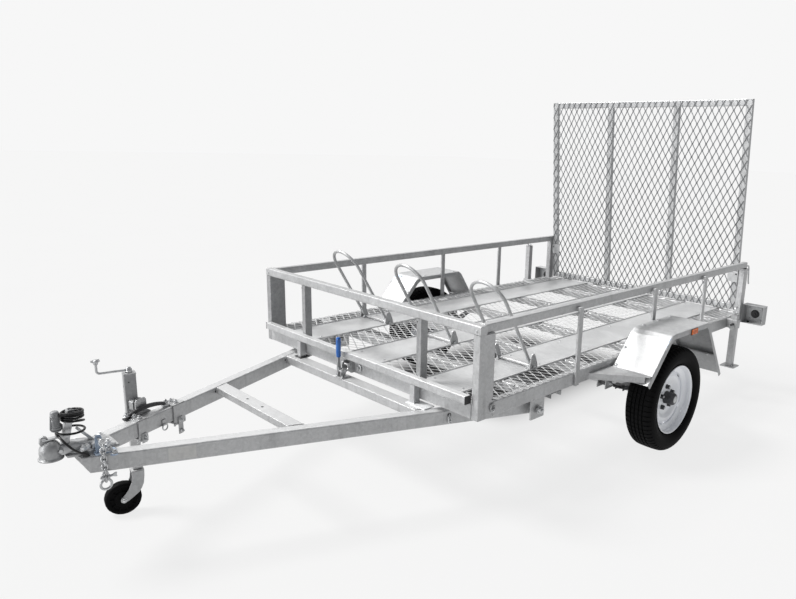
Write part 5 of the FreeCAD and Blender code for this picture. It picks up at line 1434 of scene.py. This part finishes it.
# --------------------------------------------------------- nose and coupling
def coupling():
    pc = Piece()
    prof = [(25.5, 424), (35.5, 424), (37.6, 425.6), (38, 429), (37, 432.5), (35, 435), (34.6, 441), (34.8, 452), (33.4, 464), (29.5, 476), (23, 485.5), (14, 491.5), (6, 493.6), (0, 494),
            (0, 470.8), (8, 469.6), (16, 464.8), (22, 456.5), (24.6, 448), (25.5, 438)]
    pr = [(r, z - 436.0) for r, z in prof]
    lathe(pc, pr, (2535, 0, 436), (0, 0, 1), "cast", 56, closed=True)
    # neck: rounded sections from the plate to the head
    secs = [(2350, 27, 436.4, 452), (2356, 29, 436.4, 456), (2398, 29, 436.4, 460), (2440, 28, 437, 466), (2470, 27, 437, 469.5), (2500, 25, 437, 471), (2515, 22, 438, 472)]
    V, F = [], []
    n = 0
    for x, hw, z0, z1 in secs:
        loop = [(hw, z0), (hw, z1 - 9), (hw - 2.6, z1 - 3.2), (hw - 9, z1), (-hw + 9, z1), (-hw + 2.6, z1 - 3.2), (-hw, z1 - 9), (-hw, z0)]
        n = len(loop)
        V += [(x, y, z) for y, z in loop]
    for i in range(len(secs) - 1):
        for j in range(n):
            F.append((i * n + j, i * n + (j + 1) % n, (i + 1) * n + (j + 1) % n, (i + 1) * n + j))
    F += [tuple(range(n)), tuple(range((len(secs) - 1) * n, len(secs) * n))[::-1]]
    pc.add(V, F, "zinc")
    # foot flange, ribs, and the four bolts
    prism(pc, [(2342, -46), (2352, -50), (2452, -50), (2470, -38), (2482, -28), (2482, 28), (2470, 38), (2452, 50), (2352, 50), (2342, 46)], "z", 436.2, 443.5, "zinc")
    for x in (2384, 2424):
        for s in (1, -1):
            prism(pc, [(s * 27, 443), (s * 46, 443), (s * 27, 459)], "x", x - 2.5, x + 2.5, "cast")
    for x in (2364, 2444):
        for s in (1, -1):
            bolt(pc, (x, s * 39, 443.5), (0, 0, 1), 19, "brightzinc", stub=6, turn=x)
    for x, y, wx in ((2404, 33, 26), (2430, 34, 12)):
        prism(pc, [(x - wx / 2, 443), (x + wx / 2, 443), (x + wx / 2, 456), (x + wx / 2 - 3, 459), (x - wx / 2 + 3, 459), (x - wx / 2, 456)], "y", y - 8, y + 12, "brightzinc")
    # rim band, side lug and the lug on top of the head
    lathe(pc, [(36.5, 0), (39.6, 0.8), (39.6, 5.2), (36.5, 6)], (2535, 0, 425), (0, 0, 1), "cast", 56, closed=True)
    prism(pc, [(2540, 484), (2562, 478), (2566, 488), (2562, 508), (2552, 512), (2542, 508), (2538, 494)], "y", -6, 6, "cast")
    lathe(pc, [(0, -9), (5.5, -9), (6, -8), (6, 8), (5.5, 9), (0, 9)], (2552, 0, 500), (0, 1, 0), "zinc", 18)
    for s in (1, -1):
        lathe(pc, [(0, 0), (12, 0), (11, 4), (7, 6), (0, 6)], (2512, s * 22.5, 455), (0, s, 0), "cast", 24)
        hexa(pc, (2512, s * 28, 455), (0, s, 0), 13, 6, "zinc")
    pc.make("coupling_casting", "drawbar", ["coupling_head"], "galvanised", bevel=0.9)
    pc = Piece()
    # handle: a channel that leans back, with its thumb catch and rivets
    prism(pc, [(2478, 470), (2500, 472), (2473, 585), (2463, 588), (2451, 585)], "y", -12, -9, "zinc")
    prism(pc, [(2478, 470), (2500, 472), (2473, 585), (2463, 588), (2451, 585)], "y", 9, 12, "zinc")
    prism(pc, [(2496, 474), (2500, 474), (2473, 586), (2469, 586)], "y", -9, 9, "zinc")
    lathe(pc, [(0, -14), (4.5, -14), (4.5, 14), (0, 14)], (2484, 0, 484), (0, 1, 0), "zinc", 16)
    lathe(pc, [(0, -13), (3.6, -13), (3.6, 13), (0, 13)], (2464, 0, 572), (0, 1, 0), "zinc", 16)
    prism(pc, [(2484.9, 494.2), (2546, 494.2), (2553, 496.5), (2555, 499), (2552, 500), (2483.6, 500)], "y", -10, 10, "zinc")
    prism(pc, [(2450, 508), (2444, 515), (2386, 447), (2392, 440)], "y", -13, 13, "zinc")
    pc.make("coupling_handle", "drawbar", ["coupling_lever"], "zinc_plate", bevel=0.8)
    pc = Piece()
    # nose weld beads
    for s in (1, -1):
        for x0, x1 in ((2402, 2460),):
            y0, y1 = s * (rail_y(x0) - 54.6), s * (rail_y(x1) - 54.6)
            weld(pc, (x0, y0, 428.6), (x1, y1, 428.6), 3.0)
        weld(pc, (2463, s * 14, 427), (2463, s * 58, 427), 3.0)
        weld(pc, (2332, s * 47, 429), (2460, s * 51, 429), 2.6)
        weld(pc, (2329, s * 44, 429.5), (2329, s * 8, 429.5), 2.6)
    pc.make("nose_welds", "drawbar", slot="galvanised")


coupling()


# -------------------------------------------------- chain, shackle and lug
def chain():
    pc = Piece()
    cx, cy, pz = 2404.0, 107.0, 483.0
    # bracket bent from strip on the near rail's top
    prism(pc, [(2352, 60), (2356, 56), (2416, 56), (2421, 61), (2421, 82), (2416, 86), (2356, 86), (2352, 82)], "z", 428.2, 433, "bluezinc")
    prism(pc, [(2393, 433), (2415, 433), (2415, 486), (2411, 494), (2404, 497), (2397, 494), (2393, 486)], "y", 66, 72, "bluezinc")
    prism(pc, [(2354, 96), (2366, 92), (2384, 112), (2376, 124), (2362, 122)], "z", 428.2, 431.4, "bluezinc")
    bolt(pc, (2374, 74, 433), (0, 0, 1), 19, "zinc", stub=6)
    bolt(pc, (2367, 108, 431.4), (0, 0, 1), 15, "zinc", stub=4)
    lathe(pc, [(0, 0), (9.5, 0), (9.5, 5), (7.5, 6.5), (5, 6.5), (5, 47), (8, 47), (8, 50), (5, 50.4), (5, 53), (4, 54), (0, 54)], (cx, 63.5, pz), (0, 1, 0), "zinc", 24)
    rr = 3.5

    def link(cz, flat, zc=None):
        pts = []
        L, W = 11.0, 8.2
        for i in range(32):
            g = 2 * math.pi * i / 32
            u, v = W * math.cos(g), (L - W) * (1 if math.sin(g) >= 0 else -1) + W * math.sin(g)
            pts.append((cx + u, cy, cz + v) if flat else (cx, cy + u, cz + v))
        sweep(pc, pts, rr, "zinc", 10, closed=True)
        # the butt weld of the link
        c = (cx + W, cy, cz) if flat else (cx, cy + W, cz)
        lathe(pc, [(3.4, -2.2), (4.2, -0.8), (4.2, 0.8), (3.4, 2.2)], c, (0, 0, 1), "zinc", 12, closed=False)
    for i in range(10):
        link(pz - 2.5 - 15.0 * i, i % 2 == 0)
    # bow shackle with its winged pin
    bz = pz - 2.5 - 135.0 - 20.5
    pts = []
    for i in range(25):
        g = math.radians(115 + 310.0 * i / 24)
        pts.append((cx + 18 * math.cos(g), cy, bz + 18 * math.sin(g)))
    pts = [(cx - 8.5, cy, bz + 26)] + pts + [(cx + 8.5, cy, bz + 26)]
    sweep(pc, pts, 4.5, "zinc", 12)
    for s in (1, -1):
        lathe(pc, [(4.6, -4.5), (8.2, -4.0), (8.2, 4.0), (4.6, 4.5)], (cx + s * 9.0, cy, bz + 27), (1, 0, 0), "zinc", 20, closed=True)
    rod(pc, (cx - 24, cy, bz + 27), (cx + 17, cy, bz + 27), 4.4, "zinc", 16, 0.8)
    prism(pc, [(cx - 38, bz + 20), (cx - 33, bz + 19), (cx - 22, bz + 24), (cx - 22, bz + 30), (cx - 33, bz + 35), (cx - 38, bz + 34), (cx - 36, bz + 27)], "y", cy - 2.2, cy + 2.2, "zinc")
    pc.make("chain_and_shackle", "drawbar", ["safety_chain"], "zinc_plate", angle=42)


chain()


# ------------------------------------------------------------- toggle clamp
def clamp():
    pc = Piece()
    tx, tz = 1306.0, 428.0
    prism(pc, [(tx - 15, -66), (tx - 11, -70), (tx + 11, -70), (tx + 15, -66), (tx + 15, -16), (tx + 11, -12), (tx - 11, -12), (tx - 15, -16)], "z", tz + 0.3, tz + 5)
    for y in (-51.5, -31.5):
        prism(pc, [(tx - 13, tz + 5), (tx + 13, tz + 5), (tx + 13, tz + 24), (tx + 8, tz + 40), (tx - 2, tz + 45), (tx - 16, tz + 42), (tx - 22, tz + 34), (tx - 20, tz + 24)], "y", y, y + 3.5)
    for x, y in ((tx - 9, -62), (tx + 9, -62), (tx - 9, -19), (tx + 9, -19)):
        bolt(pc, (x, y, tz + 5), (0, 0, 1), 10, "zinc", stub=3)
    for x, z in ((tx + 4, tz + 32), (tx - 10, tz + 33)):
        lathe(pc, [(0, -14.5), (6, -14.5), (6.8, -13), (4.2, -12.6), (4.2, 12.6), (6.8, 13), (6, 14.5), (0, 14.5)], (x, -40, z), (0, 1, 0), "zinc", 18)
    # handle strap and its grip
    V = [(tx - 11, 428 + 20), (tx + 11, 428 + 20), (tx + 9, 428 + 58), (tx + 6, 428 + 74), (tx + 6, 428 + 110), (tx - 6, 428 + 110), (tx - 6, 428 + 74), (tx - 10, 428 + 52)]
    prism(pc, V, "y", -62, -56, "zinc")
    slab(pc, tx - 7, tx + 7, -56, -52, tz + 26, tz + 48, "zinc")
    grip = [(0, 0), (7.5, 0.6), (10.2, 3.5), (11.2, 8), (10.6, 14), (11.6, 24), (10.8, 34), (11.8, 44), (11.0, 54), (12.0, 64), (11.2, 74), (11.6, 84), (10, 92), (6.5, 96.6), (0, 98)]
    lathe(pc, grip, (tx, -59, tz + 94), (0, 0, 1), "bluegrip", 28)
    # threaded rod and its nuts
    prof = [(0, 0)]
    z = 0.0
    while z < 40:
        prof += [(5.9, z), (5.2, z + 0.9)]
        z += 1.8
    prof += [(5.6, 40.5), (5.6, 48), (0, 48)]
    lathe(pc, prof, (tx - 48, -40, tz + 30), (1, 0, 0), "zinc", 18)
    hexa(pc, (tx - 22, -40, tz + 30), (-1, 0, 0), 16, 7, "zinc")
    hexa(pc, (tx - 38, -40, tz + 30), (-1, 0, 0), 16, 7, "zinc")
    pc.make("toggle_clamp_parts", "drawbar", ["toggle_clamp"], "galvanised", bevel=0.7)
    # what it hooks onto, on the front of the bed
    pc = Piece()
    for y in (-66, -20):
        prism(pc, [(1250.3, 447), (1266, 447), (1283, 462), (1286, 478), (1282, 492), (1270, 500), (1250.3, 500)], "y", y, y + 5)
        weld(pc, (1251, y - 0.5, 448), (1251, y - 0.5, 498), 2.2)
        weld(pc, (1251, y + 5.5, 448), (1251, y + 5.5, 498), 2.2)
    lathe(pc, [(0, 0), (8.5, 0), (8.5, 7), (5.5, 7.6), (5.5, 57), (8.5, 58), (8.5, 64), (0, 64)], (1271, -75, 484), (0, 1, 0), "zinc", 24)
    lathe(pc, [(0, 0), (16, 0), (17.5, 1.8), (17.5, 4.5), (10, 6.5), (0, 7)], (1250.4, 28, 480), (1, 0, 0), "zinc", 32)
    hexa(pc, (1256, 28, 480), (1, 0, 0), 15, 7, "zinc")
    pc.make("clamp_keeper", "bed", slot="galvanised", bevel=0.6)


clamp()


# ----------------------------------------------------------- jockey stand
JP = Vector((2178.0, -238.0, 0.0))
JR = Matrix.Translation(JP) @ Matrix.Rotation(math.radians(22.698), 4, "Z")
JS = Matrix.Translation(JP) @ Matrix.Rotation(math.radians(-12.0), 4, "Z")


def jockey():
    gap = (238.0 - rail_y(2178.0)) * 0.9224
    # mount: plate on the rail, pivot boss, straps round the rail and the spring lever
    pc = Piece(JR)
    prism(pc, [(-45, 358.5), (45, 358.5), (45, 430), (28, 440), (26, 484), (20, 492), (-20, 492), (-26, 484), (-28, 440), (-45, 430)], "y", gap - 6, gap - 0.2)
    lathe(pc, [(0, 0), (14, 0), (14, gap - 6 - 33.6), (0, gap - 6 - 33.6)], (0, 33.6, 466), (0, 1, 0), "galv", 28)
    lathe(pc, [(14.2, 0), (19, 0), (19, 3.4), (14.2, 3.4)], (0, 36, 466), (0, 1, 0), "zinc", 28, closed=True)
    for x in (-33, 33):
        for z in (372, 418):
            bolt(pc, (x, gap - 6, z), (0, -1, 0), 15, "zinc", stub=3)
    # straps across the rail and down its inner face; the rear one has a long tail
    for x0, wd, zl, tail in ((50.0, 43.0, 345.0, False), (-140.0, 62.0, 345.0, True)):
        xa, xb = x0 - wd / 2, x0 + wd / 2
        yi = gap + 50.0
        slab(pc, xa, xb, yi + 0.5, yi + 5.5, zl, 434, "galv")
        slab(pc, xa, xb, gap - 4.5, yi + 5.5, 428.6, 433.6, "galv")
        if tail:
            slab(pc, xa, xb, gap - 5.5, gap - 0.5, 352, 433.6, "galv")
        slab(pc, xa, xb, gap - 5.5, yi + 5.5, 352, 357, "galv")
        for yy in (gap + 12, gap + 38):
            bolt(pc, (x0, yy, 433.6), (0, 0, 1), 15, "zinc", stub=5)
        bolt(pc, (x0, gap + 25, 352), (0, 0, -1), 15, "zinc", stub=16)
        zt = 303.0 if tail else 338.0
        slab(pc, x0 - 12, x0 + 12, yi + 6, yi + 10, zt, 376, "galv")
        bolt(pc, (x0, yi + 10, zt + 14), (0, 1, 0), 13, "zinc", stub=6)
        bolt(pc, (x0, yi + 10, 364), (0, 1, 0), 13, "zinc", stub=4)
    ringp = [(-57.6 + 13 * math.cos(g), gap + 56.5, 361 + 13 * math.sin(g)) for g in [2 * math.pi * i / 28 for i in range(28)]]
    sweep(pc, ringp, 2.8, "zinc", 8, closed=True)
    slab(pc, -67, -48, gap + 50.6, gap + 54.2, 366, 392, "galv")
    pc.make("jockey_mount_plates", "drawbar", ["jockey_mount"], "zinc_plate", bevel=0.7)
    # release lever along the rail's top, in a dark sleeve
    pc = Piece()
    lv = [(2222, -203, 441), (2200, -208, 449), (2172, -214, 456), (2140, -222, 459), (2104, -232, 456), (2072, -243, 448), (2058, -249, 441)]
    fine = []
    for i in range(len(lv) - 1):
        a, b = Vector(lv[max(i - 1, 0)]), Vector(lv[i])
        c, d = Vector(lv[i + 1]), Vector(lv[min(i + 2, len(lv) - 1)])
        for k in range(4):
            u = k / 4
            fine.append(0.5 * ((2 * b) + (c - a) * u + (2 * a - 5 * b + 4 * c - d) * u * u + (3 * b - a - 3 * c + d) * u ** 3))
    fine.append(Vector(lv[-1]))
    m = len(fine)
    off = Vector((0, 36, -2))
    fine = [p + off for p in fine]
    sweep(pc, fine, 5, "darksteel", 12, radii=[6.5 + 2.5 * math.sin(math.pi * i / (m - 1)) for i in range(m)])
    bolt(pc, fine[0] + Vector((4, 0, 4)), (0, 0, 1), 17, "zinc", stub=5)
    bolt(pc, fine[-1] + Vector((-4, 0, 4)), (0, 0, 1), 15, "zinc", stub=5)
    slab(pc, fine[0].x - 14, fine[0].x + 16, fine[0].y - 12, fine[0].y + 12, 428.4, 434, "darksteel")
    slab(pc, fine[-1].x - 14, fine[-1].x + 12, fine[-1].y - 10, fine[-1].y + 10, 428.4, 438, "zinc")
    pc.make("jockey_release_lever", "drawbar", slot="dark_steel", bevel=0.6)
    # outer tube with its turning ear
    pc = Piece(JS)
    # painted shade: the stand's outer tube takes the darker copy of the zinc
    rhs(pc, (0, 0, 330), (0, 0, 592), (0, 1, 0), 45, 45, "galv_post", r=5)
    prism(pc, rrect(46.6, 46.6, 6, 4), "z", 590.5, 595)
    for z in (350, 376, 540):
        hole(pc, (22.6, 0, z), (1, 0, 0), 3.8)
    hole(pc, (6, 22.6, 560), (0, 1, 0), 3.2)
    for q in (-1, 1):
        weld(pc, (-20, q * 22.9, 590), (20, q * 22.9, 590), 2.0)
        weld(pc, (q * 22.9, -20, 590), (q * 22.9, 20, 590), 2.0)
    q = Piece(JS.inverted() @ JR)
    prism(q, [(a, 466 + b) for a, b in rrect(48, 48, 12, 5)], "y", 13, 33, "galv")
    pc.add(q.V, q.F, "galv")
    pc.make("jockey_outer_sleeve", "jockey_stand", ["jockey_outer_tube"], "galvanised", angle=36)
    pc = Piece(JS)
    lathe(pc, [(0, 0), (12.4, 0), (13, 1), (13, 5), (11, 6.5), (10, 8), (10, 17), (9, 20), (7, 22), (0, 22)], (0, 0, 595.2), (0, 0, 1), "zinc", 28)
    slab(pc, -7, 7, -14.5, 14.5, 596, 605, "zinc")
    path = [tuple(p) for p in bent([(-12, 0, 605), (112, 0, 605), (112, 0, 650)], 12.0, 7)]
    path[0] = (-12, 0, 605)
    sweep(pc, path, 4.8, "zinc", 14)
    lathe(pc, [(0, -1), (4.8, -1), (4.8, 0), (7.6, 1), (8.4, 4), (8.0, 9), (8.6, 14), (7.4, 18.4), (5, 20), (0, 20.4)], (112, 0, 641), (0, 0, 1), "zinc", 24)
    prism(pc, [(96, 655), (102, 650), (122, 650), (129, 654), (129, 659), (120, 662), (100, 664)], "y", -3, 3, "zinc")
    pc.make("jockey_crank_handle", "jockey_stand", ["jockey_crank"], "zinc_plate", bevel=0.5, angle=40)
    pc = Piece(JS)
    rhs(pc, (0, 0, 190.2), (0, 0, 462), (0, 1, 0), 37.6, 37.6, r=4, t=2.5, open0=False)
    pc.make("jockey_inner_sleeve", "jockey_inner", ["jockey_inner_tube"], "galvanised", angle=36)
    # fork and wheel
    pc = Piece(JS)
    ww, jr, tr, fz = 20.0, 69.0, 61.0, 190.0
    side = [(-22, fz - 5), (26, fz - 5), (24.6, fz - 30), (28, fz - 52), (tr - 20, jr + 40), (tr - 6, jr + 22), (tr + 4, jr + 11), (tr + 9.5, jr + 4), (tr + 11, jr - 1), (tr + 9, jr - 7),
            (tr + 4, jr - 11), (tr - 4, jr - 12), (tr - 18, jr - 6), (tr - 36, jr + 6), (3, jr + 22), (-9, jr + 40), (-17, fz - 62), (-21, fz - 30)]
    for a, b in ((ww + 5, ww + 9), (-ww - 9, -ww - 5)):
        prism(pc, side, "y", a, b, "galv_sheet")
    prism(pc, [(a + 2, b) for a, b in rrect(48, 2 * (ww + 9), 5, 4)], "z", fz - 9, fz - 4.2, "galv_sheet")
    lathe(pc, [(0, 0), (15, 0), (15, 2.8), (12, 3.6), (0, 3.6)], (0, 0, fz - 4.2), (0, 0, 1), "zinc", 28)
    for s in (1, -1):
        bolt(pc, (tr, s * (ww + 9), jr), (0, s, 0), 17, "zinc", stub=5 if s > 0 else 0)
    rod(pc, (tr, -ww - 9, jr), (tr, ww + 9, jr), 5.9, "zinc", 18)
    lathe(pc, [(6.2, ww + 0.6), (10.5, ww + 0.6), (10.5, ww + 4.8), (6.2, ww + 4.8)], (tr, 0, jr), (0, 1, 0), "zinc", 20, closed=True)
    lathe(pc, [(6.2, ww + 0.6), (10.5, ww + 0.6), (10.5, ww + 4.8), (6.2, ww + 4.8)], (tr, 0, jr), (0, -1, 0), "zinc", 20, closed=True)
    pc.make("jockey_fork_plates", "jockey_swivel_fork", ["jockey_fork"], "galvanised", bevel=0.7, angle=40)
    pc = Piece(JS)
    half = [(20.0, 30), (19.4, 33), (14.5, 35.5), (14.2, 48), (17.6, 51.5), (19.8, 56), (19.9, 60), (18.4, 64.5), (15.0, 67.4), (10.5, 68.7), (6.4, 69.0), (5.8, 67.2), (4.6, 67.2), (4.0, 69.0)]
    prof = [(r, t) for t, r in half] + [(r, -t) for t, r in half[::-1]] + [(20, -20.0), (6.1, -20.0), (6.1, 20.0), (20, 20.0)]
    ang, fl = [], []
    for i in range(10):
        for u, f in ((0.0, 0), (0.74, 0), (0.80, 1), (0.94, 1)):
            ang.append(2 * math.pi * (i + u) / 10)
            fl.append(f)
    ang2, fl2 = [], []
    for i in range(len(ang)):
        a0, a1 = ang[i], ang[(i + 1) % len(ang)] + (2 * math.pi if i == len(ang) - 1 else 0)
        for k in range(2):
            ang2.append(a0 + (a1 - a0) * k / 2)
            fl2.append(fl[i])
    k = len(half)

    def shape(i, j, r, h):
        # webs stand between the hub and the tread
        if fl2[j] and i < 2 * k and abs(r - 48) < 0.1 or fl2[j] and i < 2 * k and abs(r - 35.5) < 0.1:
            return r, math.copysign(18.2, h)
        return r, h
    lathe(pc, prof, (tr, 0, jr), (0, 1, 0), "rubber", closed=True, angles=ang2, shape=shape)
    pc.make("jockey_wheel_tread", "jockey_roller", ["jockey_wheel"], "jockey_rubber", angle=38)


jockey()


# ------------------------------------------------------ plug, boot and gland
def lead_ends():
    pc = Piece()
    # ribbed plug standing on the coupling, mouth down, with its hinged cap collar
    prof = [(0, 0), (10.5, 0), (10.5, 0.8), (15.2, 0.8), (16, 1.6), (16, 12.8), (15.2, 14.4), (13.2, 14.8), (13.0, 17), (13.9, 18)]
    z = 19.0
    while z < 60:
        prof += [(14.0, z), (14.0, z + 2.4), (13.0, z + 3.2), (13.0, z + 4.6)]
        z += 5.6
    prof += [(13.6, 64.0), (13.2, 67.0), (11.4, 70.4), (8, 71.8), (0, 72)]
    lathe(pc, prof, (2512, 6, 521), (0, 0, 1), "greyplastic", 44)
    # key rib, lid hinge and two screws
    prism(pc, [(2526.5, 526), (2530.5, 527.5), (2530.5, 535), (2526.5, 576), (2525.5, 576), (2525.5, 526)], "y", 3, 9, "greyplastic")
    prism(pc, [(2494, 524), (2497.5, 524), (2498.5, 546), (2494, 544), (2492, 535)], "y", 0, 12, "blackplastic")
    for g in (0.6, -0.6):
        c = Vector((2512 + 13.6 * math.cos(g), 6 + 13.6 * math.sin(g), 561))
        lathe(pc, [(0, -1), (2.6, -1), (2.6, 1.0), (2.0, 1.3), (0, 1.3)], c, (math.cos(g), math.sin(g), 0), "zinc", 14)
    lathe(pc, [(16.05, 0), (16.6, 0.6), (16.6, 2.4), (16.05, 3)], (2512, 6, 526), (0, 0, 1), "blackplastic", 44, closed=True)
    # boot: narrow on the lead, thicker in steps toward the plug
    d = Vector((0.8443, -0.5358, 0.0))
    prof = [(0.0, 0.0), (4.3, 0.0), (4.5, 0.8)]
    n = 6
    for i in range(n):
        a, r = 1.4 + 3.2 * i, 4.7 + 0.5 * i
        prof += [(r + 0.5, a), (r + 0.55, a + 1.8), (r - 0.25, a + 2.2), (r - 0.25, a + 2.9)]
    prof += [(7.6, 21.5), (7.8, 24.5), (0, 24.6)]
    lathe(pc, prof, (2481.3, 25.5, 577.8), d, "blackplastic", 26)
    pc.make("lead_plug_body", "drawbar", ["lead_plug"], "grey_plastic", angle=40)
    pc = Piece()
    hexa(pc, (2444, 64, 428.1), (0, 0, 1), 18, 4.6, "blackplastic", 0.2)
    d = (Vector(ROUTE[1]) - Vector(ROUTE[0])).normalized()
    lathe(pc, [(0, 0), (8.8, 0), (9.0, 1.2), (8.4, 3.4), (7.6, 5.0), (0, 5.6)], (2444, 64, 432.4), (0, 0, 1), "blackplastic", 26)
    prof = [(0.0, -4.0), (7.4, -4.0), (7.4, 1.0)]
    for i in range(5):
        a, r = 1.6 + 3.0 * i, 6.9 - 0.42 * i
        prof += [(r, a), (r, a + 1.7), (r - 0.7, a + 2.1), (r - 0.7, a + 2.7)]
    prof += [(4.6, 17.2), (4.3, 18.2), (0.0, 18.2)]
    lathe(pc, prof, Vector(ROUTE[0]) + Vector((0, 0, 1)), d, "blackplastic", 24)
    pc.make("lead_gland_nut", "drawbar", ["lead_gland"], "black_plastic", angle=40)


lead_ends()
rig.cord(lead, exit=P(*ROUTE[0]), length=1.298, diameter=0.008, far_end="plug", stiffness="medium", lay="coiled",
        with_pieces=["lead_plug_body"])

# ------------------------------------- edges of the pieces that stay as they are
for n, wd in (("side_posts", 1.2), ("under_crossmember", 2.0), ("mudguard_stays", 0.9), ("tail_light_boards", 1.0), ("axle_beam", 2.5), ("spring_hangers", 1.0),
              ("drop_leg_sleeves", 1.2), ("tilt_pivot_brackets", 1.2), ("nose_plate", 1.6)):
    soften(frame["nodes"][n], wd, 2, weld=True)


# ------------------------------------------------------------- stage, lights
def stage():
    me = bpy.data.meshes.new("floor")
    s = 60.0
    me.from_pydata([(-s, -s, 0), (s, -s, 0), (s, s, 0), (-s, s, 0)], [], [(0, 1, 2, 3)])
    ob = bpy.data.objects.new("floor", me)
    bpy.context.scene.collection.objects.link(ob)
    m, t, b = new_mat("floor_paint")
    v = coords(t)
    n = noise(t, v, 1.3, 5.0).outputs["Fac"]
    paint = mixc(t, n, (0.060, 0.060, 0.060), (0.066, 0.066, 0.066))
    b.inputs["Roughness"].default_value = 0.9
    b.inputs["Specular IOR Level"].default_value = 0.0
    b.inputs["Emission Color"].default_value = (1, 1, 1, 1)
    # soft contact shade on the ground under the bed
    sp = t.nodes.new("ShaderNodeSeparateXYZ")
    t.links.new(v, sp.inputs[0])
    shade = None
    for i, a0, a1 in ((0, -0.13, -0.43), (0, -1.98, -1.60), (1, 0.30, -0.16), (1, -1.20, -0.82)):
        g = t.nodes.new("ShaderNodeMapRange")
        g.interpolation_type = "SMOOTHSTEP"
        t.links.new(sp.outputs[i], g.inputs["Value"])
        g.inputs["From Min"].default_value = a0
        g.inputs["From Max"].default_value = a1
        shade = g.outputs[0] if shade is None else mathn(t, "MULTIPLY", shade, g.outputs[0])
    glow = mathn(t, "MULTIPLY", mathn(t, "SUBTRACT", 1.0, mathn(t, "MULTIPLY", shade, 0.95)), FLOOR_GLOW)
    t.links.new(glow, b.inputs["Emission Strength"])
    t.links.new(mixc(t, shade, paint, (0.014, 0.014, 0.015)), b.inputs["Base Color"])
    me.materials.append(m)
    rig.stage(ob)
    # backdrop: pale behind the trailer, darker towards the camera and overhead
    w = bpy.data.worlds.new("studio")
    w.use_nodes = True
    t = w.node_tree
    bg = t.nodes["Background"]
    c = t.nodes.new("ShaderNodeTexCoord")
    dot = t.nodes.new("ShaderNodeVectorMath")
    dot.operation = "DOT_PRODUCT"
    t.links.new(c.outputs["Generated"], dot.inputs[0])
    dot.inputs[1].default_value = (-0.722, -0.692, 0.0)
    r = t.nodes.new("ShaderNodeValToRGB")
    e = r.color_ramp.elements
    e[0].position, e[0].color = 0.50, (0.28, 0.285, 0.295, 1)
    e[1].position, e[1].color = 0.85, (0.93, 0.93, 0.93, 1)
    mr = mathn(t, "ADD", mathn(t, "MULTIPLY", dot.outputs["Value"], 0.5), 0.5)
    t.links.new(mr, r.inputs[0])
    t.links.new(r.outputs[0], bg.inputs[0])
    bg.inputs[1].default_value = 1.0
    bpy.context.scene.world = w
    l = bpy.data.lights.new("key", "SUN")
    l.angle = math.radians(20.0)
    l.energy = 5.2
    l.color = (1.0, 0.99, 0.975)
    o = bpy.data.objects.new("key", l)
    o.rotation_mode = "QUATERNION"
    o.rotation_quaternion = Vector((0.36, -0.46, 0.81)).normalized().to_track_quat("Z", "Y")
    o.location = (2.0, -2.5, 4.5)
    bpy.context.scene.collection.objects.link(o)
    l = bpy.data.lights.new("front", "SUN")
    l.angle = math.radians(40.0)
    l.energy = 2.0
    o = bpy.data.objects.new("front", l)
    o.rotation_mode = "QUATERNION"
    o.rotation_quaternion = Vector((0.97, -0.22, 0.16)).normalized().to_track_quat("Z", "Y")
    o.location = (4.5, -1.0, 1.2)
    bpy.context.scene.collection.objects.link(o)


FLOOR_GLOW = 0.80
stage()

lo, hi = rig.bounds()
with open("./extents.json", "w") as f:
    json.dump({"cad": [list(CAD_BOX[0]), list(CAD_BOX[1])], "visual": [list(lo), list(hi)]}, f)
